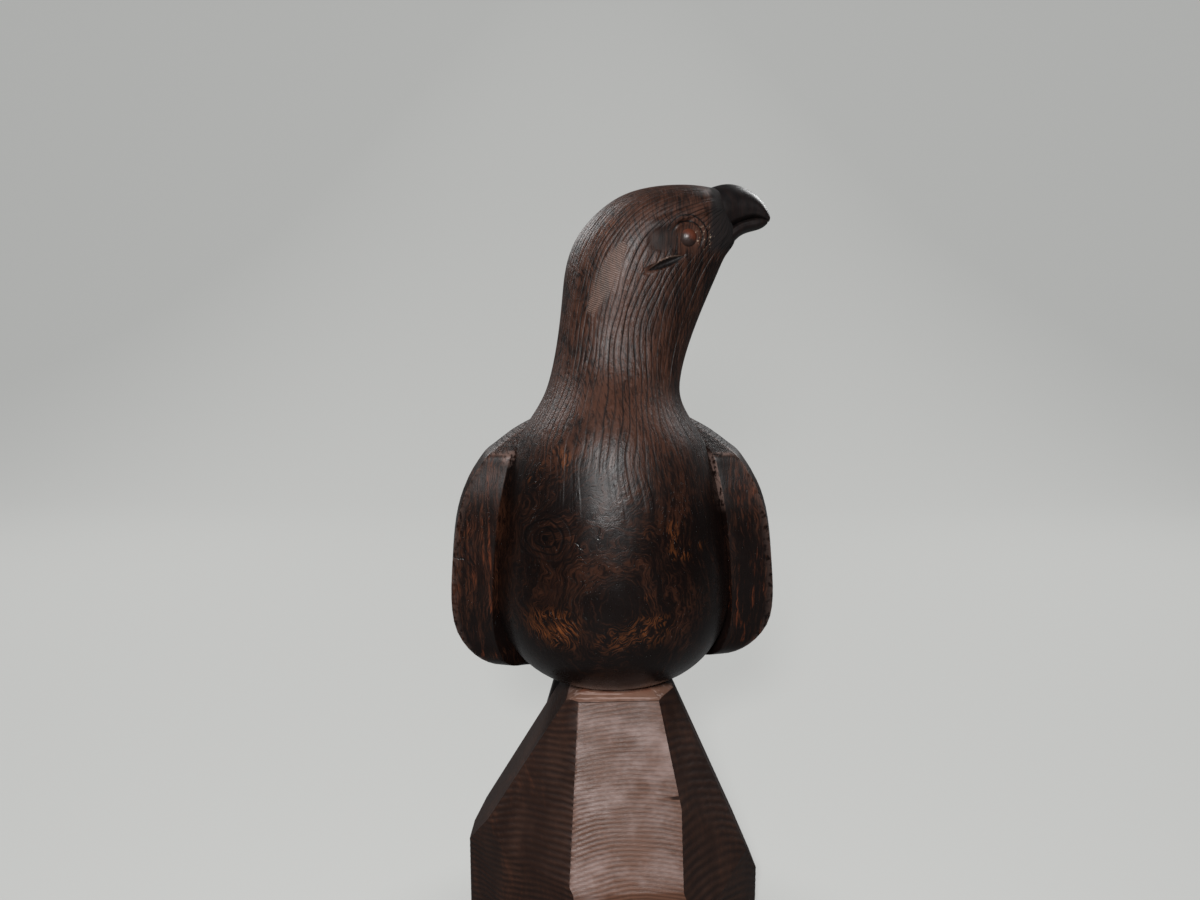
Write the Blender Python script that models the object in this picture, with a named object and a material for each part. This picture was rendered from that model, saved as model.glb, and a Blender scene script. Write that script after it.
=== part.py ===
"""Ironwood eagle carving: a bird with folded wings and a turned head, cut with its faceted rock
from one block of wood. The breast faces -Y, the beak points to +X, and the origin is the middle
of the rock's underside."""

import math

import bmesh
import bpy
import numpy as np
from mathutils import Vector

# Driving dimensions, in metres
BIRD_HEIGHT = 0.1240
ROCK_HEIGHT = 0.0722
ROCK_FOOT_HEIGHT = 0.0140
ROCK_WIDTH = 0.0765
ROCK_DEPTH = 0.0700
ROCK_TOP_WIDTH = 0.0240
ROCK_TOP_DEPTH = 0.0330
LEDGE_RUN = 0.0035
BELLY_SINK = 0.0022
FEATHER_GROOVE_DEPTH = 0.00034
WING_GROOVE_DEPTH = 0.00030
EYE_RADIUS = 0.0023
BROW_RADIUS = 0.0013
BROW_HEIGHT = 0.0005
CHEEK_CUT_WIDTH = 0.0019
CHEEK_CUT_DEPTH = 0.0011
WING_LIP_WIDTH = 0.0033
WING_LIP_DEPTH = 0.0042
WING_EDGE_THICKNESS = 0.0024
RIGHT_WING_DROP = 0.0022
LEFT_WING_RISE = 0.0008

# Feather grooves round the neck, over one wing and over the tail
NECK_GROOVES = 76
WING_GROOVES = 9
TAIL_GROOVES = 7

NODE_NAME = "eagle_carving"
WOOD_COLOUR = (0.085, 0.042, 0.028, 1.0)
WOOD_ROUGHNESS = 0.42

# The figure's own tables are in hundredths of BIRD_HEIGHT. Heights start at the belly's lowest point.
HUNDREDTH = BIRD_HEIGHT / 100
BELLY_Z = ROCK_HEIGHT - BELLY_SINK

# Belly, neck and head: the two ends of each section, as x and height, then how far it reaches
# towards the breast and towards the back
TRUNK_SECTIONS = (
    ((-7.5, 0.2), (7.5, 0.2), 7.5, 7.5),
    ((-13.0, 1.9), (13.0, 1.9), 13.4, 12.5),
    ((-17.8, 5.0), (18.0, 5.0), 18.8, 17.1),
    ((-21.4, 9.6), (21.7, 9.6), 23.4, 20.8),
    ((-23.5, 15.4), (24.0, 15.4), 26.0, 22.9),
    ((-23.7, 22.5), (24.4, 22.5), 26.6, 23.7),
    ((-22.7, 30.8), (23.5, 30.8), 26.3, 23.3),
    ((-21.5, 39.2), (22.0, 39.2), 25.4, 22.1),
    ((-20.3, 45.8), (20.3, 45.8), 24.3, 20.4),
    ((-18.6, 50.8), (18.2, 50.8), 23.1, 18.3),
    ((-16.1, 55.0), (15.5, 55.0), 21.2, 15.8),
    ((-13.7, 59.2), (13.7, 59.2), 18.0, 14.2),
    ((-12.2, 63.8), (13.8, 63.3), 14.7, 13.2),
    ((-10.8, 71.2), (15.3, 69.3), 12.7, 12.5),
    ((-9.9, 78.8), (17.5, 75.4), 12.3, 12.3),
    ((-9.1, 84.6), (19.3, 79.8), 12.3, 12.2),
    ((-7.0, 90.0), (20.9, 83.6), 12.2, 12.0),
    ((-3.0, 94.8), (22.3, 86.6), 11.7, 11.5),
    ((2.2, 98.2), (23.8, 88.8), 10.7, 10.5),
    ((8.8, 99.8), (24.0, 91.0), 9.2, 9.1),
    ((15.4, 100.0), (23.3, 92.9), 7.0, 7.0),
    ((19.6, 99.5), (23.0, 94.6), 4.3, 4.3),
)
BELLY_RINGS, NECK_RINGS = 11, 15
TRUNK_SQUARENESS = 2.12
# The head is narrower towards the beak by this share, from these heights of a section's middle
HEAD_TAPER = 0.18
TAPER_BEGINS, TAPER_FULL = 60.0, 84.0
# Feather grooves fade in over these shares of the way from the belly to the brow
GROOVES_BEGIN, GROOVES_FULL = 0.42, 0.50
GROOVES_WEAKEN, GROOVES_END = 0.93, 0.99

# Beak halves: the upper and lower end of each section, as x and height, then its half width
UPPER_BEAK_SECTIONS = (
    ((17.5, 99.0), (18.3, 87.5), 6.2),
    ((21.2, 100.2), (21.0, 89.0), 5.5),
    ((23.8, 100.2), (22.5, 91.2), 4.7),
    ((26.3, 99.3), (24.8, 92.8), 3.8),
    ((28.5, 97.8), (27.4, 93.7), 3.0),
    ((30.1, 95.8), (29.4, 93.5), 2.2),
    ((30.8, 94.3), (30.7, 93.2), 1.3),
)
LOWER_BEAK_SECTIONS = (
    ((20.0, 90.2), (19.6, 84.6), 5.0),
    ((22.4, 91.7), (22.3, 87.4), 4.2),
    ((24.4, 93.0), (24.8, 90.2), 3.3),
    ((27.1, 93.8), (27.2, 91.3), 2.5),
    ((29.2, 94.0), (29.4, 92.0), 1.8),
    ((30.4, 93.7), (30.3, 92.7), 1.2),
)
BEAK_RINGS = 10
BEAK_POINTS = 16

# One wing, seen from above at each height: the inner and outer edge of its flat front facet,
# that facet's place front to back, the wing's widest reach, and its rear edge
WING_SECTIONS = (
    (-7.9, 8.8, 10.0, 21.7, 11.3, 8.2, 25.0),
    (-5.0, 10.5, 12.5, 16.5, 14.6, 7.5, 25.7),
    (-0.8, 14.5, 17.0, 9.5, 19.0, 6.7, 26.3),
    (2.6, 18.4, 20.8, 2.0, 22.6, 5.4, 27.0),
    (5.0, 20.8, 24.2, -4.2, 25.6, 4.8, 27.4),
    (7.6, 22.3, 27.5, -6.9, 28.7, 4.1, 27.7),
    (10.2, 23.3, 29.8, -7.8, 30.8, 3.5, 27.9),
    (13.5, 23.9, 31.6, -8.1, 32.5, 2.9, 28.0),
    (17.5, 24.0, 32.2, -8.6, 33.0, 2.5, 27.8),
    (25.8, 23.5, 31.8, -9.0, 32.8, 2.5, 27.2),
    (34.2, 22.7, 30.7, -9.0, 32.0, 2.9, 25.8),
    (42.5, 21.2, 28.0, -8.6, 29.4, 4.2, 23.6),
    (46.0, 20.4, 25.8, -8.3, 27.2, 4.9, 22.0),
    (47.9, 19.8, 24.4, -8.0, 25.7, 5.2, 21.0),
    (48.9, 19.1, 23.2, -6.4, 24.4, 5.5, 20.4),
    (50.8, 17.4, 20.4, -2.4, 21.8, 6.2, 18.9),
    (53.0, 14.0, 16.4, 2.6, 17.8, 7.0, 16.9),
    (55.0, 10.6, 12.2, 7.0, 13.6, 7.6, 14.4),
)
WING_RINGS = 21
FACET_SLANT = 0.7
# Lip and rear edge shrink where a section is less deep than this, near the wing's lower end
WING_FULL_DEPTH = 12.0
# Shares of a section's depth where it is widest and where its inner corner lies, and the share of
# the way from the rear edge to the facet that this corner stands out
WIDEST_AT, CORE_AT, CORE_OUT = 0.30, 0.55, 0.35
# The right wing's lower end hangs a little lower and the left one's stays a little higher, which
# fades out between these heights
ENDS_DIFFER_BELOW, ENDS_LEVEL_ABOVE = 5.0, 24.0

# Tail: height, distance behind the middle, half width and half thickness of each section
TAIL_SECTIONS = (
    (-34.6, 28.1, 17.9, 1.6),
    (-33.3, 27.9, 18.8, 2.7),
    (-28.3, 27.2, 17.9, 2.9),
    (-20.0, 25.8, 15.8, 3.2),
    (-11.7, 24.2, 13.6, 3.3),
    (-3.3, 22.5, 12.1, 3.7),
    (6.7, 20.0, 10.4, 4.2),
    (16.7, 16.7, 8.3, 4.2),
)
TAIL_RINGS = 10
TAIL_POINTS = 32
TAIL_SQUARENESS = 4.0

# Head details, as x and height
EYE_PLACE = (13.8, 89.5)
EYE_SINK = 0.42
BROW_ENDS = ((10.2, 92.5), (18.6, 95.3))
CHEEK_CUT_ENDS = ((6.2, 83.2), (13.6, 86.2))

# Rock: the compass angle that each flat stroke faces, from the front towards +X, and how far it
# stands out, as shares of the rock's half width and depth. The slopes have one share at
# ROCK_FOOT_HEIGHT and one at the top, and the upright strokes below them have one share.
ROCK_SLOPES = (
    (3.0, 1.214, 0.94),
    (54.6, 1.013, 1.60),
    (61.2, 1.083, 1.27),
    (94.0, 1.037, 1.16),
    (122.0, 1.060, 1.20),
    (147.0, 1.060, 1.16),
    (180.0, 1.140, 1.20),
    (-150.0, 1.080, 1.16),
    (-124.0, 1.110, 1.08),
    (-94.0, 1.170, 0.70),
    (-38.7, 1.116, 1.18),
)
ROCK_UPRIGHTS = (
    (3.0, 1.000),
    (44.0, 1.000),
    (58.0, 0.940),
    (93.0, 1.010),
    (118.0, 0.960),
    (146.0, 0.930),
    (177.0, 0.985),
    (-146.0, 0.920),
    (-114.0, 0.955),
    (-89.0, 0.980),
    (-54.0, 0.920),
    (-38.9, 0.920),
)
LEDGE_LEAN = math.radians(31.0)


def clear_scene():
    for obj in list(bpy.data.objects):
        bpy.data.objects.remove(obj)


def spline(keys, values):
    """The natural cubic curve through the values, as a function of the key."""
    keys = np.asarray(keys, float)
    values = np.asarray(values, float)
    steps = np.diff(keys)[:, None]
    slopes = np.diff(values, axis=0) / steps
    matrix = np.eye(len(keys))
    right = np.zeros_like(values)
    for i in range(1, len(keys) - 1):
        before, after = steps[i - 1, 0], steps[i, 0]
        matrix[i, i - 1 : i + 2] = before, 2 * (before + after), after
        right[i] = 6 * (slopes[i] - slopes[i - 1])
    bends = np.linalg.solve(matrix, right)

    def at(key):
        i = int(np.clip(np.searchsorted(keys, key) - 1, 0, len(keys) - 2))
        step = steps[i, 0]
        ahead, gone = keys[i + 1] - key, key - keys[i]
        ends = (bends[i] * ahead**3 + bends[i + 1] * gone**3) / (6 * step)
        start = (values[i] / step - bends[i] * step / 6) * ahead
        finish = (values[i + 1] / step - bends[i + 1] * step / 6) * gone
        return ends + start + finish

    return at


def smooth_sections(sections, shares):
    """Rows of numbers read at these shares of the way along a smooth curve through the sections."""
    rows = np.array([np.hstack([np.ravel(part) for part in section]) for section in sections])
    lengths = np.linalg.norm(np.diff(rows, axis=0), axis=1)
    keys = np.concatenate([[0], np.cumsum(lengths)])
    curve = spline(keys, rows)
    return [curve(share * keys[-1]) for share in shares]


def even_shares(count):
    return np.linspace(0, 1, count)


def round_power(value, squareness):
    return math.copysign(abs(value) ** (2 / squareness), value)


def ramp(value, start, end):
    """0 before start, 1 after end, and a smooth rise between them."""
    share = min(1.0, max(0.0, (value - start) / (end - start)))
    return share * share * (3 - 2 * share)


def make_material():
    material = bpy.data.materials.new("ironwood")
    material.use_nodes = True
    shader = material.node_tree.nodes["Principled BSDF"]
    shader.inputs["Base Color"].default_value = WOOD_COLOUR
    shader.inputs["Roughness"].default_value = WOOD_ROUGHNESS
    shader.inputs["Metallic"].default_value = 0.0
    return material


def mesh_object(name, bm):
    bmesh.ops.recalc_face_normals(bm, faces=bm.faces)
    mesh = bpy.data.meshes.new(name)
    bm.to_mesh(mesh)
    bm.free()
    obj = bpy.data.objects.new(name, mesh)
    bpy.context.collection.objects.link(obj)
    return obj


def loft(name, rings):
    """A closed body through rings of points, with flat ends. A ring may have four times the
    points of the ring before it."""
    bm = bmesh.new()
    loops = [[bm.verts.new(point) for point in ring] for ring in rings]
    for lower, upper in zip(loops, loops[1:]):
        finer = len(upper) > len(lower)
        for i, corner in enumerate(lower):
            after = lower[(i + 1) % len(lower)]
            if finer:
                a, b, c, d, e = (upper[(4 * i + step) % len(upper)] for step in range(5))
                for face in ((corner, b, a), (corner, c, b), (corner, after, c), (after, d, c), (after, e, d)):
                    bm.faces.new(face)
            else:
                bm.faces.new((corner, after, upper[(i + 1) % len(upper)], upper[i]))
    bm.faces.new(loops[0])
    bm.faces.new(loops[-1])
    return mesh_object(name, bm)


def figure_point(x, y, z):
    """A point of the figure, from hundredths of its height."""
    return Vector((x * HUNDREDTH, y * HUNDREDTH, BELLY_Z + z * HUNDREDTH))


def side_reach(row, along, face):
    """How far a section reaches to one side, in metres, at this share of the way to its right end."""
    left_z, right_z, to_breast, to_back = row[1], row[3], row[4], row[5]
    taper = HEAD_TAPER * ramp((left_z + right_z) / 2, TAPER_BEGINS, TAPER_FULL)
    return (to_back if face > 0 else to_breast) * (1 - taper * along) * HUNDREDTH


def trunk_ring(row, count, groove_depth):
    """One section of belly, neck or head. Every second point is cut in, as a feather groove."""
    left_x, left_z, right_x, right_z = row[:4]
    middle = figure_point((left_x + right_x) / 2, 0, (left_z + right_z) / 2)
    across = figure_point(right_x, 0, right_z) - middle
    ring = []
    for i in range(count):
        angle = math.tau * i / count
        side = round_power(math.cos(angle), TRUNK_SQUARENESS)
        face = round_power(math.sin(angle), TRUNK_SQUARENESS)
        offset = across * side + Vector((0, side_reach(row, side, face) * face, 0))
        if i % 2:
            offset -= offset.normalized() * groove_depth
        ring.append(middle + offset)
    return ring


def make_trunk():
    belly = np.linspace(0, GROOVES_BEGIN, BELLY_RINGS)
    rings = [trunk_ring(row, NECK_GROOVES // 2, 0) for row in smooth_sections(TRUNK_SECTIONS, belly)]
    neck = np.linspace(GROOVES_BEGIN, 1, NECK_RINGS + 1)[1:]
    for share, row in zip(neck, smooth_sections(TRUNK_SECTIONS, neck)):
        fade = ramp(share, GROOVES_BEGIN, GROOVES_FULL) * (1 - ramp(share, GROOVES_WEAKEN, GROOVES_END))
        rings.append(trunk_ring(row, 2 * NECK_GROOVES, FEATHER_GROOVE_DEPTH * fade))
    return loft("trunk", rings)


def beak_ring(row):
    """One section of a beak half, an oval from its upper to its lower end."""
    upper_x, upper_z, lower_x, lower_z, half_width = row
    middle = figure_point((upper_x + lower_x) / 2, 0, (upper_z + lower_z) / 2)
    up = figure_point(upper_x, 0, upper_z) - middle
    ring = []
    for i in range(BEAK_POINTS):
        angle = math.tau * i / BEAK_POINTS
        out = Vector((0, half_width * HUNDREDTH * math.sin(angle), 0))
        ring.append(middle + up * math.cos(angle) + out)
    return ring


def make_beak_half(name, sections):
    return loft(name, [beak_ring(row) for row in smooth_sections(sections, even_shares(BEAK_RINGS))])


def wing_ring(row, side, end_rise):
    """One level section of a wing: groove root, facet, ribbed outer face, rear edge, inner side."""
    z, lip, corner, front, reach, rear_x, rear_y = row
    middle_y = front + WIDEST_AT * (rear_y - front)
    start = math.acos(min(1.0, corner / reach))
    end = math.acos(min(1.0, rear_x / reach))
    facet_y = front + FACET_SLANT
    shrink = min(1.0, (rear_y - front) / WING_FULL_DEPTH) / HUNDREDTH
    outline = [
        (lip - WING_LIP_WIDTH * shrink, front + WING_LIP_DEPTH * shrink),
        (lip, front),
        (corner, facet_y),
    ]
    steps = 2 * WING_GROOVES + 2
    for i in range(1, steps):
        angle = -start + (end + start) * i / steps
        if angle < 0:
            y = middle_y + (middle_y - facet_y) * math.sin(angle) / math.sin(start)
        else:
            y = middle_y + (rear_y - middle_y) * math.sin(angle) / math.sin(end)
        cut = 1 - (i % 2) * WING_GROOVE_DEPTH / (reach * HUNDREDTH)
        outline.append((reach * math.cos(angle) * cut, middle_y + (y - middle_y) * cut))
    core_x = rear_x + CORE_OUT * (lip - rear_x)
    core_y = front + CORE_AT * (rear_y - front)
    rear_inner = rear_y - WING_EDGE_THICKNESS * shrink
    outline += [(rear_x, rear_y), (rear_x, rear_inner), (core_x, core_y)]
    z += end_rise / HUNDREDTH * (1 - ramp(z, ENDS_DIFFER_BELOW, ENDS_LEVEL_ABOVE))
    return [figure_point(side * x, y, z) for x, y in outline]


def make_wing(name, side, end_rise):
    rows = smooth_sections(WING_SECTIONS, even_shares(WING_RINGS))
    return loft(name, [wing_ring(row, side, end_rise) for row in rows])


def tail_ring(row):
    """One level section of the tail, a flat oval whose rear face is ribbed with feather grooves."""
    z, behind, half_width, half_thickness = row
    ring = []
    for i in range(TAIL_POINTS):
        angle = math.tau * i / TAIL_POINTS
        x = half_width * round_power(math.cos(angle), TAIL_SQUARENESS)
        y = half_thickness * round_power(math.sin(angle), TAIL_SQUARENESS)
        rib = math.cos(math.pi * (x / half_width) * TAIL_GROOVES) if y > 0 else 1.0
        y -= (1 - rib) * 0.5 * WING_GROOVE_DEPTH / HUNDREDTH
        ring.append(figure_point(x, behind + y, z))
    return ring


def make_tail():
    return loft("tail", [tail_ring(row) for row in smooth_sections(TAIL_SECTIONS, even_shares(TAIL_RINGS))])


def trunk_surface_y(x, z, side):
    """How far out the head's side lies at this x and height, in metres: side -1 is the breast side."""
    best = None
    for row in smooth_sections(TRUNK_SECTIONS, even_shares(4 * NECK_RINGS)):
        left = Vector((row[0], row[1]))
        right = Vector((row[2], row[3]))
        across = (right - left) / 2
        from_middle = Vector((x, z)) - (left + right) / 2
        along = from_middle.dot(across) / across.length_squared
        off = (from_middle - across * along).length
        if abs(along) < 1 and (best is None or off < best[0]):
            height = (1 - abs(along) ** TRUNK_SQUARENESS) ** (1 / TRUNK_SQUARENESS)
            best = (off, height * side_reach(row, along, side))
    return side * best[1]


def ball(name, place, radius, stretch=(1, 1, 1), turn=0.0):
    """A round bulge, stretched along its own axes and turned about the Y axis."""
    bm = bmesh.new()
    bmesh.ops.create_uvsphere(bm, u_segments=16, v_segments=10, radius=radius)
    bmesh.ops.scale(bm, vec=stretch, verts=bm.verts)
    obj = mesh_object(name, bm)
    obj.rotation_euler = (0, turn, 0)
    obj.location = place
    return obj


def make_eye(name, side):
    x, z = EYE_PLACE
    place = figure_point(x, 0, z)
    place.y = trunk_surface_y(x, z, side) - side * EYE_SINK * EYE_RADIUS
    return ball(name, place, EYE_RADIUS)


def long_detail(name, ends, radius, side, thin, out):
    """A long narrow bulge or cutter on the head's side, between two points."""
    (x0, z0), (x1, z1) = ends
    x, z = (x0 + x1) / 2, (z0 + z1) / 2
    half = math.hypot(x1 - x0, z1 - z0) / 2 * HUNDREDTH
    place = figure_point(x, 0, z)
    place.y = trunk_surface_y(x, z, side) + side * out
    turn = -math.atan2(z1 - z0, x1 - x0)
    return ball(name, place, radius, (half / radius, thin, 1), turn)


def make_brow(name, side):
    return long_detail(name, BROW_ENDS, BROW_RADIUS, side, 1.0, BROW_HEIGHT - BROW_RADIUS)


def make_cheek_cutter(name, side):
    thin = 2 * CHEEK_CUT_DEPTH / CHEEK_CUT_WIDTH
    return long_detail(name, CHEEK_CUT_ENDS, CHEEK_CUT_WIDTH / 2, side, thin, 0.0)


def slice_off(bm, point, normal):
    """Cuts away everything on the normal's side of the plane, and closes the cut with a flat face."""
    geometry = bm.verts[:] + bm.edges[:] + bm.faces[:]
    cut = bmesh.ops.bisect_plane(
        bm, geom=geometry, dist=1e-7, plane_co=point, plane_no=normal, clear_outer=True
    )
    edges = [part for part in cut["geom_cut"] if isinstance(part, bmesh.types.BMEdge)]
    if edges:
        bmesh.ops.contextual_create(bm, geom=edges)


def reach_towards(angle, width, depth):
    """How far an oval of this width and depth reaches in a compass direction."""
    return math.hypot(width / 2 * math.sin(angle), depth / 2 * math.cos(angle))


def make_rock():
    """A block cut with flat strokes: upright round the foot, sloping above, and a ledge at the top."""
    up = Vector((0, 0, 1))
    bm = bmesh.new()
    bmesh.ops.create_cube(bm, size=1.0)
    bmesh.ops.scale(bm, vec=(2 * ROCK_WIDTH, 2 * ROCK_DEPTH, ROCK_HEIGHT), verts=bm.verts)
    bmesh.ops.translate(bm, vec=(0, 0, ROCK_HEIGHT / 2), verts=bm.verts)
    for degrees, share in ROCK_UPRIGHTS:
        angle = math.radians(degrees)
        outward = Vector((math.sin(angle), -math.cos(angle), 0))
        slice_off(bm, outward * share * reach_towards(angle, ROCK_WIDTH, ROCK_DEPTH), outward)
    for degrees, foot_share, top_share in ROCK_SLOPES:
        angle = math.radians(degrees)
        outward = Vector((math.sin(angle), -math.cos(angle), 0))
        foot = foot_share * reach_towards(angle, ROCK_WIDTH, ROCK_DEPTH)
        top = top_share * reach_towards(angle, ROCK_TOP_WIDTH, ROCK_TOP_DEPTH)
        slope = outward * (ROCK_HEIGHT - ROCK_FOOT_HEIGHT) + up * (foot - top)
        slice_off(bm, outward * foot + up * ROCK_FOOT_HEIGHT, slope.normalized())
        ledge = outward * math.sin(LEDGE_LEAN) + up * math.cos(LEDGE_LEAN)
        slice_off(bm, outward * (top - LEDGE_RUN) + up * ROCK_HEIGHT, ledge)
    return mesh_object("rock", bm)


def combine(target, tool, operation):
    """Joins the tool to the target, or cuts it away, and removes the tool."""
    modifier = target.modifiers.new("carve", "BOOLEAN")
    modifier.operation = operation
    modifier.object = tool
    modifier.solver = "EXACT"
    graph = bpy.context.evaluated_depsgraph_get()
    mesh = bpy.data.meshes.new_from_object(target.evaluated_get(graph))
    target.modifiers.clear()
    old = target.data
    target.data = mesh
    bpy.data.meshes.remove(old)
    bpy.data.objects.remove(tool)


def make_carving():
    carving = make_trunk()
    additions = (
        make_wing("left_wing", 1, LEFT_WING_RISE),
        make_wing("right_wing", -1, -RIGHT_WING_DROP),
        make_tail(),
        make_beak_half("upper_beak", UPPER_BEAK_SECTIONS),
        make_beak_half("lower_beak", LOWER_BEAK_SECTIONS),
        make_brow("right_brow", -1),
        make_brow("left_brow", 1),
        make_eye("right_eye", -1),
        make_eye("left_eye", 1),
        make_rock(),
    )
    for addition in additions:
        combine(carving, addition, "UNION")
    for name, side in (("right_cheek", -1), ("left_cheek", 1)):
        combine(carving, make_cheek_cutter(name, side), "DIFFERENCE")
    carving.name = NODE_NAME
    carving.data.name = NODE_NAME
    carving.data.materials.clear()
    carving.data.materials.append(make_material())
    carving.data.shade_smooth()
    carving.data.set_sharp_from_angle(angle=math.radians(32))


clear_scene()
make_carving()
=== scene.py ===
# %% [markdown]
# # An ironwood eagle, carved with its rock from one block
# The real carving is one piece of very dark desert wood. The belly is polished, the neck is scored
# with fine feather lines, the beak is smooth and almost black, and the rock underneath is left as
# the rasp left it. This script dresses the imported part: it builds the same forms again with many
# more faces, cuts the fine carving into them, and gives each zone its own finish.

# %% Load the frame
import math

import bmesh
import bpy
import numpy as np
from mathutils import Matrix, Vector


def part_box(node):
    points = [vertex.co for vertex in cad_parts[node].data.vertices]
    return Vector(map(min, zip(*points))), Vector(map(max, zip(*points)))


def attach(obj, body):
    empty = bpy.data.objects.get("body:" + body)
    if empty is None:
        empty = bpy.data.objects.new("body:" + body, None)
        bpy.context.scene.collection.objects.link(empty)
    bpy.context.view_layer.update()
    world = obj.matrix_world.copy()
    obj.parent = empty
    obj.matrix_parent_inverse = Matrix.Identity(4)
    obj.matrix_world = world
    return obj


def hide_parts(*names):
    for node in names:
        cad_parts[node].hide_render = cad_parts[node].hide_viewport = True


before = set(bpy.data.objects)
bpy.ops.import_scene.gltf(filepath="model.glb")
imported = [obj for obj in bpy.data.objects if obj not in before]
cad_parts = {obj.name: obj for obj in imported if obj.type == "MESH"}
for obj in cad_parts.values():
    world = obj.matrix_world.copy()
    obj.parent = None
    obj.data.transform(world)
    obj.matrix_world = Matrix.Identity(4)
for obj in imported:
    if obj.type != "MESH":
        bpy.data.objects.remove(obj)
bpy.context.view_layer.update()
NODE = "eagle_carving"
carving_low, carving_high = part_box(NODE)
print("the carving's box", tuple(carving_low), tuple(carving_high))

# %% [markdown]
# ## One unit for everything
# A carver works from the height of the block. The part stands 194.4 mm tall, so one millimetre of it
# is its height over 194.4. The sizes of the carving are in that unit, and follow the frame if it changes.
# The bird's own sections are in hundredths of the bird's height, as in the part.

# %% Units
PART_HEIGHT_MM = 194.385
MM = (carving_high.z - carving_low.z) / PART_HEIGHT_MM
HUNDREDTH_MM = 1.24
HUNDREDTH = HUNDREDTH_MM * MM
ROCK_HEIGHT = 72.2 * MM
BELLY_Z_MM = 70.0
BELLY_Z = BELLY_Z_MM * MM
print(f"one millimetre of the carving is {MM:.6f} m")

# %% [markdown]
# ## Smooth curves through a few sections
# A bird's body has no straight lines, so it is described by a few cross sections, and a natural cubic
# curve runs through them. One helper reads that curve at any number of places at once.


# %% Curve helper
def smooth_sections(sections, shares):
    """Rows of numbers at these shares of the way along a smooth curve through the sections."""
    rows = np.array([np.hstack([np.ravel(part) for part in section]) for section in sections], float)
    keys = np.concatenate([[0], np.cumsum(np.linalg.norm(np.diff(rows, axis=0), axis=1))])
    steps = np.diff(keys)[:, None]
    slopes = np.diff(rows, axis=0) / steps
    matrix = np.eye(len(keys))
    right = np.zeros_like(rows)
    for i in range(1, len(keys) - 1):
        before, after = steps[i - 1, 0], steps[i, 0]
        matrix[i, i - 1 : i + 2] = before, 2 * (before + after), after
        right[i] = 6 * (slopes[i] - slopes[i - 1])
    bends = np.linalg.solve(matrix, right)
    key = np.asarray(shares) * keys[-1]
    i = np.clip(np.searchsorted(keys, key) - 1, 0, len(keys) - 2)
    step = steps[i]
    ahead = (keys[i + 1] - key)[:, None]
    gone = (key - keys[i])[:, None]
    curve = (bends[i] * ahead**3 + bends[i + 1] * gone**3) / (6 * step)
    curve += (rows[i] / step - bends[i] * step / 6) * ahead
    return curve + (rows[i + 1] / step - bends[i + 1] * step / 6) * gone


# %% [markdown]
# ## Small helpers for shapes
# Carving marks are local: a hollow here, a ridge there, a line that starts softly. A smooth step, a
# rounded hill and the distance to a line are enough to describe them all.


# %% Shape helpers
def ramp(value, start, end):
    """0 before start, 1 after end, and a smooth rise between them."""
    share = np.clip((value - start) / (end - start), 0, 1)
    return share * share * (3 - 2 * share)


def hill(distance, width):
    """A rounded hill that is 1 in the middle and dies away over the width."""
    return np.exp(-((distance / width) ** 2))


def to_segment(x, z, start, end):
    """The distance to a straight line between two points, and how far along it the nearest place is."""
    (x0, z0), (x1, z1) = start, end
    span = np.array([x1 - x0, z1 - z0])
    along = np.clip(((x - x0) * span[0] + (z - z0) * span[1]) / (span @ span), 0, 1)
    return np.hypot(x - x0 - along * span[0], z - z0 - along * span[1]), along


def to_path(x, z, points):
    """The distance to the nearest stretch of a bent line."""
    return np.min([to_segment(x, z, *ends)[0] for ends in zip(points, points[1:])], axis=0)


def squared_oval(angle, squareness):
    """Side and front values of an oval whose sides are a little flattened."""
    power = 2 / squareness
    side = np.sign(np.cos(angle)) * np.abs(np.cos(angle)) ** power
    return side, np.sign(np.sin(angle)) * np.abs(np.sin(angle)) ** power


def placed(points):
    """Points in hundredths, brought to metres and set on the rock."""
    points = points * HUNDREDTH
    points[..., 2] += BELLY_Z
    return points


# %% [markdown]
# ## Skins from rings
# Every form is a skin stretched over rings of points. Each skin carries two UV maps that its finish
# reads later: `strokes` holds the number of the tool stroke and how deep it is, and `wear` holds the
# way along the form in millimetres and how worn the spot is, where a value below zero stands for fine
# ribs across the stroke. A UV map is the one kind of data that comes through a Boolean union unharmed,
# so it is used here in place of vertex colours.


# %% Rings
class Ring:
    """One ring of points. Its strokes are counted round it, or it lies within one stroke by number."""

    def __init__(self, points, strokes=0.0, depth=0.0, along=0.0, wear=0.0, number=None):
        self.points = np.asarray(points)
        self.count = len(self.points)
        self.lines = strokes
        self.depth = np.broadcast_to(depth, self.count)
        self.along = along
        self.wear = np.broadcast_to(wear, self.count)
        self.number = number

    def uv(self, column):
        j = column % self.count
        number = self.lines * column / self.count if self.number is None else self.number
        return (number, self.depth[j]), (self.along, self.wear[j])


# %% New objects
def link_object(name, data):
    obj = bpy.data.objects.new(name, data)
    bpy.context.scene.collection.objects.link(obj)
    return obj


def new_object(name, vertices, faces, stroke_uv, wear_uv, material):
    mesh = bpy.data.meshes.new(name)
    mesh.from_pydata(vertices, [], faces)
    strokes = mesh.uv_layers.new(name="strokes")
    wear = mesh.uv_layers.new(name="wear")
    strokes.data.foreach_set("uv", np.asarray(stroke_uv, np.float32).ravel())
    wear.data.foreach_set("uv", np.asarray(wear_uv, np.float32).ravel())
    mesh.materials.append(material)
    obj = link_object(name, mesh)
    bm = bmesh.new()
    bm.from_mesh(mesh)
    bmesh.ops.recalc_face_normals(bm, faces=bm.faces)
    bm.to_mesh(mesh)
    bm.free()
    return obj


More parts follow.
